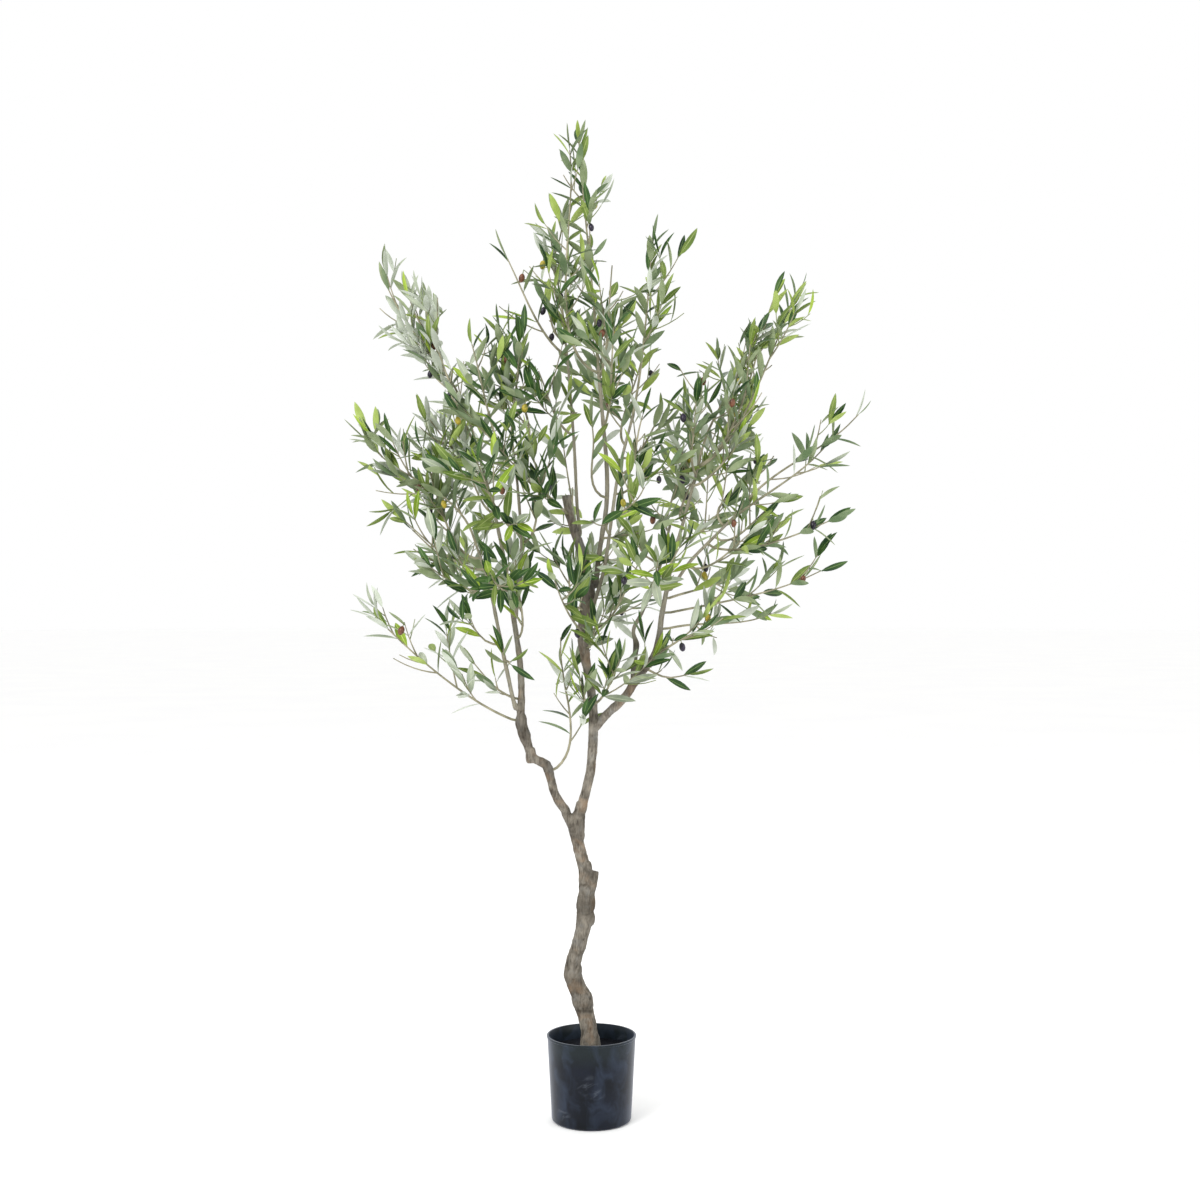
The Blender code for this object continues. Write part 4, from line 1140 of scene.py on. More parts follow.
@dataclass
class Skeleton:
    """The limbs' centre lines and radii, grown from the same bends as in the part's source."""

    # The tubes: the distance of their rings, how far they start inside, an arm's rings
    ring_gap: float = 0.005
    sink: float = 0.006
    arm_rings: int = 5
    # How much a side limb thickens at its root, and how far that reaches
    collar: float = 0.55
    collar_length: float = 0.010
    # A pruned arm: each ring's radius against its own, extra length, its cut's dark
    stub_radii: tuple[float, ...] = (1.0, 1.0, 1.0, 1.0, 1.0, 1.1, 1.1, 0.86)
    stub_extra: float = 0.004
    stub_mark: float = 0.012
    # Lumps on trunk and boughs: middle and radius, half-height, its steps, the taper
    bumps: tuple[tuple[Point, float], ...] = (
        ((-0.0070, -0.0020, 0.4215), 0.0150), ((-0.0105, -0.0030, 0.4750), 0.0150),
        ((-0.0350, 0.0000, 0.3130), 0.0158), ((-0.0130, -0.0020, 0.2500), 0.0155),
        ((-0.0270, 0.0000, 0.5900), 0.0135), ((-0.0090, 0.0000, 0.5220), 0.0110),
        ((-0.1262, -0.0110, 0.7605), 0.0111), ((-0.1465, -0.0050, 0.8290), 0.0128))
    bump_half: float = 0.016
    bump_steps: int = 4
    bump_fall: float = 0.28
    # How much stouter the trunk is than the source's, and its shift along X
    trunk_extra: float = 0.0013
    trunk_shift: float = -0.0012
    # The coarse lines of limbs and arms, for seats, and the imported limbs' surfaces
    axes: dict[str, Axis] = field(init=False, default_factory=dict)
    trees: dict[str, BVHTree] = field(init=False, default_factory=dict)
    # The smooth tubes, and where bark is dark: the middle and the reach
    strands: list[Strand] = field(init=False, default_factory=list)
    knots: list[tuple[Vector, float]] = field(init=False, default_factory=list)

    def grow(self) -> None:
        """Work out every limb, each from its parent, and the bumps."""
        for limb in LIMBS:
            node = frame["nodes"][limb.name].data
            faces = [tuple(face.vertices) for face in node.polygons]
            self.trees[limb.name] = BVHTree.FromPolygons([vert.co.copy() for vert in node.vertices], faces)
            self.grow_limb(limb)
        steps = [step / self.bump_steps - 1.0 for step in range(2 * self.bump_steps + 1)]
        for centre, radius in self.bumps:
            line = [Vector(centre) + UP * (self.bump_half * step) for step in steps]
            radii = [radius * (1.0 - self.bump_fall * step * step) for step in steps]
            self.strands.append(Strand(line, radii))
        LOG.info("skeleton: %d limbs, %d tubes", len(LIMBS), len(self.strands))

    def seat(self, parent: str, share: float, toward: Vector) -> Seat:
        """Find a seat at a limb's tip, or on the facet of its side that looks toward a point.

        Args:
            parent: The limb, or its arm.
            share: The share of the limb's length.
            toward: What the seat looks toward.

        Returns:
            The seat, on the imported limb's own surface.
        """
        if parent == "pot_fill":
            return Seat(Vector(TRUNK_PLACE), UP)
        axis = self.axes[parent]
        place, direction = axis.at(share)
        if share >= 1.0:
            return Seat(axis.points[-1], direction)
        side = toward - place
        side = (side - direction * side.dot(direction)).normalized()
        hit, normal, _, _ = self.trees[parent].ray_cast(place + side * RAY_START, -side)
        return Seat(hit, normal)

    def grow_limb(self, limb: Limb) -> None:
        """Work out one limb's lines: the coarse one that seats stand on and its smooth tube.

        Args:
            limb: The limb.
        """
        bends = [Vector(bend) for bend in limb.bends]
        seat = self.seat(limb.parent, limb.share, bends[0])
        lead = seat.lead()
        smooth = Axis(smooth_path(lead + bends))
        coarse = [ring for ring in smooth.rings(limb.rings) if (ring - lead[0]).length > 2.0 * LEAD_IN]
        count = int(smooth.length / self.ring_gap) + 2
        shares = [step / (count - 1) for step in range(count)]
        radii = [limb.radius(smooth.length, share) for share in shares]
        if "/" in limb.parent:
            before = self.axes[limb.parent].rings(self.arm_rings)[:-1]
        else:
            before = [seat.place - seat.facing * self.sink]
            if limb.share < 1.0:
                for index, share in enumerate(shares):
                    away = share * smooth.length / self.collar_length
                    radii[index] *= 1.0 + self.collar * math.exp(-away * away)
        line = before + smooth.rings(count)
        if limb.name == "trunk":
            line = [point + Vector((self.trunk_shift, 0.0, 0.0)) for point in line]
            radii = [radius + self.trunk_extra for radius in radii]
        self.strands.append(Strand(line, [radii[0]] * len(before) + radii))
        for number, (share, end, radius) in enumerate(limb.arms):
            start, _ = smooth.at(share)
            arm = Axis([start.lerp(Vector(end), step / ARM_STEPS) for step in range(ARM_STEPS + 1)])
            name = "%s/%d" % (limb.name, number)
            self.axes[name] = arm
            if not any(other.parent == name for other in LIMBS):
                self.grow_stub(arm, radius)
        self.knots += [(smooth.at(where)[0], half) for where, _, half in limb.knots]
        self.axes[limb.name] = Axis(lead + coarse)

    def grow_stub(self, arm: Axis, radius: float) -> None:
        """Round off an arm that was pruned short.

        Args:
            arm: The arm's centre line.
            radius: Its radius.
        """
        points = arm.rings(len(self.stub_radii))
        points[-1] = points[-1] + arm.at(1.0)[1] * self.stub_extra
        self.strands.append(Strand(points, [radius * share for share in self.stub_radii]))
        self.knots.append((arm.points[-1], self.stub_mark))

    def crossed(self, start: Vector, end: Vector) -> bool:
        """True where a straight line runs into a limb."""
        run = end - start
        return any(tree.ray_cast(start, run, run.length)[0] is not None for tree in self.trees.values())


@dataclass
class Bark:
    """The trunk, boughs and stems as one skin: tubes melted together, then given the bark's relief."""

    skeleton: Skeleton
    # The tubes' sides, the grid that melts them, the smoothing's strength and rounds
    sides: int = 24
    voxel: float = 0.00180
    smoothing: tuple[float, int] = (0.5, 2)
    # The radius at which the relief is at its full depth
    full_girth: float = 0.013
    relief: tuple[tuple[str, float], ...] = (
        ("Ridge Depth", 0.00060), ("Ridge Size", 0.0050), ("Ridge Share", 0.6), ("Ridge Stretch", 0.16),
        ("Lump Depth", 0.00170), ("Lump Size", 0.024), ("Lump Share", 0.4), ("Seed", 4.0))
    # The trunk's level creases: height and depth, their half-width, and how they wander; the depth also sets
    # their painted shade
    creases: tuple[Range, ...] = (
        (0.230, 0.0016), (0.288, 0.0008), (0.346, 0.0012), (0.436, 0.0016), (0.492, 0.0008),
        (0.585, 0.0010), (0.640, 0.0008))
    crease_width: float = 0.0045
    crease_wave: Range = (0.004, 0.002)
    # Their least depth round the trunk, what one side adds, and how that side turns
    crease_reach: Range = (0.55, 0.45)
    crease_swing: Range = (0.9, 1.7)
    # How far past its half-length a knot is dark, and how dark its middle is
    knot_reach: float = 0.006
    knot_dark: float = 0.8

    def build(self) -> None:
        """Build the skin."""
        made = add_object("bark", strand_mesh("bark", self.skeleton.strands))
        material = BARK.material()
        tube_recipe().run(made, {"Sides": self.sides, "Material": material})
        melt = made.modifiers.new("melt", "REMESH")
        melt.mode = "VOXEL"
        melt.voxel_size = self.voxel
        soften = made.modifiers.new("soften", "SMOOTH")
        soften.factor, soften.iterations = self.smoothing
        settle(made)
        self.measure(made.data)
        relief_recipe().run(made, {**dict(self.relief), "Material": material})
        keep_piece(made, [limb.name for limb in LIMBS])

    def measure(self, mesh: Mesh) -> None:
        """Store how thick the limb is at each point of the skin, and how dark it is painted: painted shade in
        the trunk's creases, and darker near knots.

        Args:
            mesh: The skin.
        """
        marks = [(p, r) for strand in self.skeleton.strands for p, r in zip(strand.points, strand.radii)]
        finder = KDTree(len(marks))
        for index, (point, _) in enumerate(marks):
            finder.insert(point, index)
        finder.balance()
        places = read_points(mesh, "co")
        girth = [min(marks[finder.find(Vector(place))[1]][1] / self.full_girth, 1.0) for place in places]
        # Painted shade in the creases first, then darker near knots
        knot = self.pinch(mesh, places)
        for centre, half in self.skeleton.knots:
            away = np.linalg.norm(places - np.array(centre), axis=1) / (half + self.knot_reach)
            knot = np.maximum(knot, self.knot_dark * np.exp(-away * away))
        add_attribute(mesh, "girth", "FLOAT", girth)
        add_attribute(mesh, "knot", "FLOAT", knot)

    def pinch(self, mesh: Mesh, places: np.ndarray) -> np.ndarray:
        """Press the trunk's level creases into the skin, and work out their painted shade.

        Args:
            mesh: The skin.
            places: Its points.

        Returns:
            How much painted shade each point's crease gets, from 0 to 1.
        """
        normals = read_points(mesh, "normal")
        turn = np.arctan2(normals[:, 1], normals[:, 0])
        depth, dark = np.zeros(len(places)), np.zeros(len(places))
        slow, quick = self.crease_wave
        least, more = self.crease_reach
        swing, pace = self.crease_swing
        for number, (height, deep) in enumerate(self.creases):
            wave = slow * np.sin(turn + number * 2.0) + quick * np.sin(3.0 * turn + number)
            near = np.exp(-((places[:, 2] - height - wave) / self.crease_width) ** 2)
            near *= least + more * np.cos(turn + QUARTER_TURN + swing * math.sin(pace * number))
            depth += deep * near
            # Painted shade in the crease, as dark as the crease is deep against the first one
            dark = np.maximum(dark, near * deep / self.creases[0][1])
        mesh.vertices.foreach_set("co", np.ravel(places - normals * depth[:, None]))
        return dark


def read_points(mesh: Mesh, what: str) -> np.ndarray:
    """Read a vector of every point of a mesh.

    Args:
        mesh: The mesh.
        what: The vector's name, co or normal.

    Returns:
        One row for each point.
    """
    values = np.empty(len(mesh.vertices) * 3)
    mesh.vertices.foreach_get(what, values)
    return values.reshape(-1, 3)


@dataclass
class Shoot:
    """A stem or twig that bears leaves past the bare share at its root."""

    axis: Axis
    radii: Range
    level: int
    bare: float
    ring_gap: float = 0.014
    fewest_rings: int = 4

    def strand(self) -> Strand:
        """Read the shoot's tube off its centre line.

        Returns:
            The strand.
        """
        count = max(self.fewest_rings, int(self.axis.length / self.ring_gap))
        fall = (self.radii[1] - self.radii[0]) / (count - 1)
        return Strand(self.axis.rings(count), [self.radii[0] + fall * index for index in range(count)])


@dataclass
class Sprigs:
    """Where one kind of leaf or olive goes: the places, turns, sizes and numbers of its shapes."""

    spots: list[tuple[Vector, Point, Point, int]] = field(default_factory=list)

    def add(self, root: Vector, along: Vector, face: Vector, size: Point, shape: int) -> None:
        """Set one on its root.

        Args:
            root: Where it is joined on.
            along: The way it points.
            face: The way its upper side looks.
            size: Its factors of width, height and length.
            shape: The number of its shape.
        """
        across = face.cross(along).normalized()
        turn = Matrix((across, along.cross(across).normalized(), along)).transposed()
        self.spots.append((root, tuple(turn.to_euler()), size, shape))

    def mesh(self, name: str) -> Mesh:
        """Make the mesh of points for the scatter recipe.

        Args:
            name: The mesh's name.

        Returns:
            The mesh.
        """
        places, turns, sizes, shapes = zip(*self.spots)
        mesh = bpy.data.meshes.new(name)
        mesh.from_pydata(places, [], [])
        add_attribute(mesh, "turn", "FLOAT_VECTOR", turns)
        add_attribute(mesh, "size", "FLOAT_VECTOR", sizes)
        add_attribute(mesh, "shape", "INT", shapes)
        return mesh


@dataclass(frozen=True)
class LeafShape:
    """The pattern of a leaf, one unit long and one unit wide, along +Z with its upper side toward +Y."""

    # From stalk to tip: the share of the length, and the width there
    outline: tuple[Range, ...] = (
        (0.0, 0.09), (0.07, 0.15), (0.20, 0.66), (0.38, 0.95), (0.56, 1.0), (0.74, 0.80), (0.90, 0.40),
        (1.0, 0.0))
    # The midrib's share of the width, and how far the edges rise and the keel hangs
    rib: float = 0.10
    fold: float = 0.034
    keel: float = 0.010
    # How far the tip bends back, for each shape
    curls: tuple[float, ...] = (0.03, 0.10, 0.18, -0.05)
    # A cross-section's five points are the left edge, the rib's two sides, the right edge and the keel.
    # Between two of them lie three faces above and two below, from left to right, with two hard edges
    ring: int = 5
    sides: tuple[tuple[int, int], ...] = ((0, 1), (1, 2), (2, 3), (4, 0), (3, 4))
    edges: tuple[int, int] = (0, 3)

    def build(self) -> Collection:
        """Build the leaf in each of its curls.

        Returns:
            The collection that the leaf recipe picks from.
        """
        shapes = bpy.data.collections.new("leaf_shapes")
        for number, curl in enumerate(self.curls):
            shapes.objects.link(bpy.data.objects.new("leaf_%d" % number, self.leaf(curl)))
        return shapes

    def leaf(self, curl: float) -> Mesh:
        """Build one leaf as a thin closed body.

        Args:
            curl: How far its tip bends back.

        Returns:
            The mesh, with the attributes under and rib on its faces.
        """
        points = []
        for share, width in self.outline[:-1]:
            half, back = 0.5 * width, -curl * share * share
            edge, rib = back + self.fold * width, 0.5 * width * self.rib
            spots = ((-half, edge), (-rib, back), (rib, back), (half, edge), (0.0, back - self.keel))
            points += [(x, y, share) for x, y in spots]
        tip = len(points)
        points.append((0.0, -curl, 1.0))
        starts = range(0, tip, self.ring)
        faces = [(0, 4, 3, 2, 1)]
        for start in starts:
            for left, right in self.sides:
                low = (start + left, start + right)
                high = (min(start + right + self.ring, tip), min(start + left + self.ring, tip))
                faces.append(tuple(dict.fromkeys(low + high)))
        mesh = closed_mesh("leaf", points, faces)
        under = [True] + [False, False, False, True, True] * len(starts)
        ribs = [False] + [False, True, False, False, False] * len(starts)
        rim = {(start + side, min(start + side + self.ring, tip)) for start in starts for side in self.edges}
        add_attribute(mesh, "under", "BOOLEAN", under, "FACE")
        add_attribute(mesh, "rib", "BOOLEAN", ribs, "FACE")
        add_attribute(mesh, "sharp_edge", "BOOLEAN",
                      [tuple(sorted(edge.vertices)) in rim for edge in mesh.edges], "EDGE")
        return mesh


@dataclass(frozen=True)
class OliveShape:
    """The pattern of an olive on its stalk, hanging along +Z from the stalk's root, one unit long."""

    # The stalk: its share of the whole, its radii, how far it runs in and starts back, and its sides
    stalk: float = 0.30
    stalk_radii: Range = (0.065, 0.0806)
    stalk_sunk: float = 0.05
    stalk_back: float = 0.2
    stalk_sides: int = 5
    # How far the olive's end is drawn out, from which share on, its sides and rings
    point: float = 0.10
    point_start: float = 0.8
    sides: int = 10
    rings: int = 7

    def build(self) -> Collection:
        """Build the olive.

        Returns:
            The collection that the olive recipe picks from.
        """
        shapes = bpy.data.collections.new("olive_shapes")
        shapes.objects.link(bpy.data.objects.new("olive_0", self.olive()))
        return shapes

    def olive(self) -> Mesh:
        """Build the olive and its stalk as closed bodies.

        Returns:
            The mesh, with the attribute stalk on its faces.
        """
        bm = bmesh.new()
        bmesh.ops.create_uvsphere(bm, u_segments=self.sides, v_segments=self.rings, radius=0.5)
        body = 1.0 - self.stalk
        for vert in bm.verts:
            share = vert.co.z + 0.5
            vert.co.z = self.stalk + body * share + self.point * body * max(0.0, share - self.point_start)
        fruit = len(bm.faces)
        start, end = -self.stalk_back * self.stalk_sunk, self.stalk + self.stalk_sunk
        bmesh.ops.create_cone(bm, cap_ends=True, segments=self.stalk_sides, radius1=self.stalk_radii[0],
                              radius2=self.stalk_radii[1], depth=end - start,
                              matrix=Matrix.Translation((0.0, 0.0, 0.5 * (end + start))))
        mesh = bpy.data.meshes.new("olive")
        bm.to_mesh(mesh)
        bm.free()
        add_attribute(mesh, "stalk", "BOOLEAN", np.arange(len(mesh.polygons)) >= fruit, "FACE")
        return mesh


@dataclass
class Viewpoint:
    """The photo's camera: level, in front of the tree, its lens and sensor in millimetres."""

    place: Point = (0.0177, -3.45, 1.0835)
    lens: float = 49.58
    sensor: float = 36.0
    far: float = 200.0

    def pixel(self, point: Vector) -> tuple[float, float]:
        """Find where a point shows in the photo.

        Args:
            point: The point.

        Returns:
            Its pixel, across and down.
        """
        away = Vector(point) - Vector(self.place)
        focal = self.lens / self.sensor * PHOTO_SIDE / away.y
        return 0.5 * PHOTO_SIDE + away.x * focal, 0.5 * PHOTO_SIDE - away.z * focal

    def build(self) -> None:
        """Make the camera and use it."""
        camera = bpy.data.cameras.new("photo_camera")
        camera.lens = self.lens
        camera.sensor_width = self.sensor
        camera.clip_end = self.far
        made = add_object("photo_camera", camera)
        made.location = self.place
        made.rotation_euler = (QUARTER_TURN, 0.0, 0.0)
        bpy.context.scene.camera = made


@dataclass
class Crown:
    """The foliage: each spray's stem and twigs as in the part's source, finer twigs, leaves and olives."""

    skeleton: Skeleton
    viewpoint: Viewpoint

    # A stem: the leaf that the source leaves room for at its end, its bends, rises, root and extra length
    source_leaf: float = 0.078
    stem_pull: float = 0.24
    stem_start_lift: float = 0.35
    stem_end_lift: float = 0.18
    stem_sink: float = 0.003
    extra_length: float = 0.018
    stem_bare: float = 0.16
    # The source's twigs on it: their number, places, angles, rise and lengths
    twigs: int = 3
    twig_shares: Range = (0.26, 0.68)
    twig_shift: float = 0.03
    twig_spread: float = math.radians(42.0)
    twig_turn: float = 0.12
    twig_lift: float = 0.30
    twig_lengths: Range = (0.34, 0.15)
    twig_sizes: Range = (0.85, 1.15)
    twig_bare: float = 0.12

    # Finer twigs: at each level, the distance between them and their greatest length
    gaps: tuple[float, ...] = (0.090, 0.080)
    longest: tuple[float, ...] = (0.110, 0.058)
    # Where on a shoot they end, the rounding of their number, their places, angles and rise
    fine_end: float = 0.94
    fine_round: float = 0.4
    fine_shift: Range = (0.3, 0.7)
    fine_spread: float = math.radians(44.0)
    fine_turn: Range = (-0.15, 0.20)
    fine_lift: float = 0.25
    # Their length at a shoot's root and what it loses to the tip, how it varies and grows with fullness
    fine_taper: Range = (1.12, 0.5)
    fine_sizes: Range = (0.7, 1.2)
    fine_growth: float = 0.4
    fine_bare: float = 0.18
    # The fewest points that a twig cut short keeps
    shortest: int = 3
    # The radius at root and tip of stems, twigs and finer twigs
    radii: tuple[Range, ...] = ((0.0029, 0.0013), (0.0018, 0.0010), (0.0013, 0.0008))

    # Leaves: their size, their pairs' distance, and how they stand on old wood and new
    leaf_length: float = 0.075
    leaf_width: float = 0.0172
    pair_gap: float = 0.033
    first_pair: float = 0.3
    root_clear: float = 0.04
    old_length: float = 0.12
    old_spread: float = math.radians(54.0)
    young_spread: float = math.radians(27.0)
    pair_turn: float = 0.35
    pair_lean: float = 0.15
    young_scale: float = 0.80
    tip_scale: float = 0.84
    tip_sunk: float = 0.001
    # How a leaf strays, turns to the sky and rolls, and how its size varies
    leaf_stray: float = 0.12
    sky_pull: float = 0.35
    sky_share: Range = (0.2, 1.0)
    leaf_roll: float = 0.35
    leaf_sizes: Range = (0.86, 1.10)
    leaf_widths: Range = (0.88, 1.1)
    fresh_age: float = 0.6
    # The room it needs: off the limbs, the sky and other leaves, and inside the box
    leaf_root: float = 0.006
    leaf_checks: Range = (0.55, 0.9)
    leaf_room: float = 0.009
    box_margin: float = 0.002
    edge_scale: float = 0.72

    # Olives: their size, how they hang, and how far from the photo's places in pixels
    olive_length: float = 0.026
    olive_width: float = 0.0125
    olive_seed: int = 77
    olive_rings: int = 6
    olive_turn: Range = (0.0, 6.0)
    olive_sway: float = 0.35
    olive_sizes: Range = (0.88, 1.08)
    olive_drop: float = 0.6
    olive_reach: float = 26.0
    olive_depth: float = 30.0
    olive_front: float = -0.4
    pixels_per_metre: float = 479.0
    # More olives behind: how many, how far back, and the shares of their colours
    hidden_olives: int = 30
    hidden_from: float = 0.06
    hidden_kinds: tuple[int, ...] = (5, 3, 2)

    shoots: list[Shoot] = field(init=False, default_factory=list)
    leaves: dict[LeafTone, Sprigs] = field(init=False, default_factory=dict)
    taken: set[tuple[int, ...]] = field(init=False, default_factory=set)

    def grow(self) -> None:
        """Lay out every spray."""
        self.leaves = {tone: Sprigs() for tone in LeafTone}
        for seed, spray in enumerate(SPRAYS + INFILL, 1):
            self.grow_spray(spray, seed)
        counts = {tone.value: len(sprigs.spots) for tone, sprigs in self.leaves.items()}
        LOG.info("crown: %d shoots, leaves %s", len(self.shoots), counts)

    def grow_spray(self, spray: Spray, seed: int) -> None:
        """Lay out one spray: its stem, its twigs, the finer ones, then leaves on them all.

        Args:
            spray: The spray.
            seed: The seed of its source.
        """
        tip = Vector(spray.tip)
        seat = self.skeleton.seat(spray.limb, spray.share, tip)
        stem = self.stem_axis(seat, tip)
        last, way = stem.at(1.0)
        longer = [seat.place - seat.facing * self.stem_sink, *stem.points, last + way * self.extra_length]
        shoots = [Shoot(Axis(longer), self.radii[0], 0, self.stem_bare)]
        shoots += [Shoot(axis, self.radii[1], 1, self.twig_bare) for axis in self.twig_axes(stem, seed)]
        for level in range(len(self.gaps)):
            parents = [shoot for shoot in shoots if shoot.level == level]
            for place, parent in enumerate(parents):
                branch = SPRAY_SEEDS * seed + LEVEL_SEEDS * level + place
                shoots += self.finer(parent, level, spray.fullness, branch)
        self.shoots += shoots
        for place, shoot in enumerate(shoots):
            self.dress(shoot, spray, LEAF_SEEDS + SPRAY_SEEDS * seed + place)

    def stem_axis(self, seat: Seat, tip: Vector) -> Axis:
        """Run a spray's stem off its seat in one sweep, as the part's source does.

        Args:
            seat: Its seat.
            tip: The spray's furthest tip.

        Returns:
            The stem's centre line.
        """
        start, turn = seat.lead()
        run = tip - turn
        last_way = (run.normalized() + UP * self.stem_end_lift).normalized()
        last = tip - last_way * self.source_leaf
        early = turn + (seat.facing + UP * self.stem_start_lift) * self.stem_pull * run.length
        late = last - last_way * self.stem_pull * run.length
        steps = [step / PATH_STEPS for step in range(PATH_STEPS + 1)]
        return Axis([start] + [turn * (1 - t) ** 3 + early * 3 * t * (1 - t) ** 2
                               + late * 3 * t * t * (1 - t) + last * t ** 3 for t in steps])

    def twig_axes(self, stem: Axis, seed: int) -> list[Axis]:
        """Lay out the source's own twigs of one spray, each with a slight bend.

        Args:
            stem: The spray's stem.
            seed: The seed of its source.

        Returns:
            The centre lines of the twigs that limbs and sky leave room for.
        """
        dice = random.Random(seed)
        roll = dice.uniform(0.0, FULL_TURN)
        (first, last), (longest, shortest) = self.twig_shares, self.twig_lengths
        made = []
        for number in range(self.twigs):
            share = first + (last - first) * number / (self.twigs - 1)
            share += dice.uniform(-self.twig_shift, self.twig_shift)
            spread = self.twig_spread + dice.uniform(-self.twig_turn, self.twig_turn)
            length = stem.length * (longest + (shortest - longest) * share) * dice.uniform(*self.twig_sizes)
            axis = self.offshoot(stem, share, roll + number * GOLDEN_ANGLE, spread, self.twig_lift, length)
            if not self.skeleton.crossed(axis.points[0], axis.points[-1]):
                made.append(self.cut_short(axis))
        return [axis for axis in made if axis]

    @staticmethod
    def offshoot(parent: Axis, share: float, turn: float, spread: float, lift: float, length: float) -> Axis:
        """Lay out a twig that leaves its parent at an angle and rises.

        Args:
            parent: The parent's centre line.
            share: Where on it the twig leaves.
            turn: Which way, as a turn about it.
            spread: The twig's angle to it.
            lift: How much the twig rises.
            length: The twig's length.

        Returns:
            The twig's centre line.
        """
        root, direction = parent.at(share)
        way, _ = splayed(direction, turn, spread)
        end = root + (way + UP * lift).normalized() * length
        middle = root + way * length * 0.5
        steps = [step / TWIG_STEPS for step in range(TWIG_STEPS + 1)]
        return Axis([root * (1 - t) ** 2 + middle * 2 * t * (1 - t) + end * t * t for t in steps])

    def in_sky(self, point: Vector) -> bool:
        """True where a point shows in one of the photo's patches of sky."""
        across, down = self.viewpoint.pixel(point)
        return any(((across - x) / wide) ** 2 + ((down - y) / high) ** 2 < 1.0 for x, y, wide, high in SKY)

    def cut_short(self, axis: Axis) -> Axis | None:
        """Cut a twig where it would grow into a patch of sky.

        Args:
            axis: Its centre line.

        Returns:
            The part that stays, or None where that is too short.
        """
        kept = len(axis.points)
        for index, point in enumerate(axis.points):
            if self.in_sky(point):
                kept = index
                break
        return Axis(axis.points[:kept]) if kept >= self.shortest else None

    def inside(self, point: Vector) -> bool:
        """True where a point lies within the CAD model's box."""
        low, high = CAD_BOX
        return all(low[i] + self.box_margin < point[i] < high[i] - self.box_margin for i in range(3))

    def finer(self, parent: Shoot, level: int, fullness: float, seed: int) -> list[Shoot]:
        """Grow finer twigs along a shoot, each a golden angle on from the last.

        Args:
            parent: The shoot.
            level: Its level of branching.
            fullness: How dense the spray is.
            seed: The seed of their spread and length.

        Returns:
            The twigs.
        """
        dice = random.Random(seed)
        roll = dice.uniform(0.0, FULL_TURN)
        run = self.fine_end - parent.bare
        count = int(parent.axis.length * run * fullness / self.gaps[level] + self.fine_round)
        made = []
        for number in range(count):
            share = parent.bare + run * (number + dice.uniform(*self.fine_shift)) / count
            spread = self.fine_spread + dice.uniform(*self.fine_turn)
            taper = self.fine_taper[0] - self.fine_taper[1] * share
            length = self.longest[level] * taper * dice.uniform(*self.fine_sizes)
            length *= fullness ** self.fine_growth
            turn = roll + number * GOLDEN_ANGLE
            axis = self.offshoot(parent.axis, share, turn, spread, self.fine_lift, length)
            root, end = axis.points[0], axis.points[-1]
            if self.inside(end) and not self.in_sky(end) and not self.skeleton.crossed(root, end):
                made.append(Shoot(axis, self.radii[level + 1], level + 1, self.fine_bare))
        return made

    def dress(self, shoot: Shoot, spray: Spray, seed: int) -> None:
        """Set leaves on a shoot: pairs square to one another, and one at its tip.

        Args:
            shoot: The shoot.
            spray: Its spray.
            seed: The seed of the leaves' turns, sizes and colours.
        """
        dice = random.Random(seed)
        roll = dice.uniform(0.0, math.pi)
        length = shoot.axis.length
        gap = self.pair_gap / spray.fullness ** 0.5
        for number in range(max(1, int(length * (1.0 - shoot.bare) / gap))):
            share = 1.0 - (number + self.first_pair) * gap / length
            if share < self.root_clear:
                break
            point, direction = shoot.axis.at(share)
            age = min(1.0, (1.0 - share) * length / self.old_length)
            scale = self.young_scale + (1.0 - self.young_scale) * age
            for half in (0.0, math.pi):
                turn = roll + number * QUARTER_TURN + half + dice.uniform(-self.pair_turn, self.pair_turn)
                spread = self.young_spread + (self.old_spread - self.young_spread) * age
                spread += dice.uniform(-self.pair_lean, self.pair_lean)
                self.set_leaf(point, *splayed(direction, turn, spread), spray.tone, scale, age, dice)
        end, direction = shoot.axis.at(1.0)
        face = around(direction, roll)
        self.set_leaf(end - direction * self.tip_sunk, direction, face, spray.tone, self.tip_scale, 0.0, dice)

    def set_leaf(self, root: Vector, along: Vector, face: Vector, tone: SprayTone, scale: float,
                 age: float, dice: random.Random) -> None:
        """Set one leaf where it has room and meets no limb.

        Args:
            root: Where it is joined on.
            along: The way it points.
            face: The way its upper side looks before it turns to the light.
            tone: The spray's tone.
            scale: Its size against a full leaf.
            age: 0 at a shoot's tip, 1 on old wood.
            dice: The spray's dice.
        """
        stray = [dice.uniform(-self.leaf_stray, self.leaf_stray) for _ in range(3)]
        along = (along + Vector(stray)).normalized()
        face = face + UP * self.sky_pull * dice.uniform(*self.sky_share)
        face = face + face.cross(along) * dice.uniform(-self.leaf_roll, self.leaf_roll)
        scale *= dice.uniform(*self.leaf_sizes)
        shape = dice.randrange(len(LeafShape.curls))
        shares = MIXED.value if tone is FRESH and age > self.fresh_age else tone.value
        kind = dice.choices(list(LeafTone), shares)[0]
        tip = root + along * self.leaf_length * scale
        if not self.inside(tip):
            scale *= self.edge_scale
            tip = root + along * self.leaf_length * scale
        middle, late = [root.lerp(tip, share) for share in self.leaf_checks]
        cell = tuple(math.floor(value / self.leaf_room) for value in middle)
        if cell in self.taken or not self.inside(tip) or not self.inside(middle):
            return
        if self.in_sky(middle) or self.in_sky(late):
            return
        if self.skeleton.crossed(root + along * self.leaf_root, tip):
            return
        self.taken.add(cell)
        size = (scale * dice.uniform(*self.leaf_widths), scale, scale)
        self.leaves[kind].add(root, along, face, size, shape)

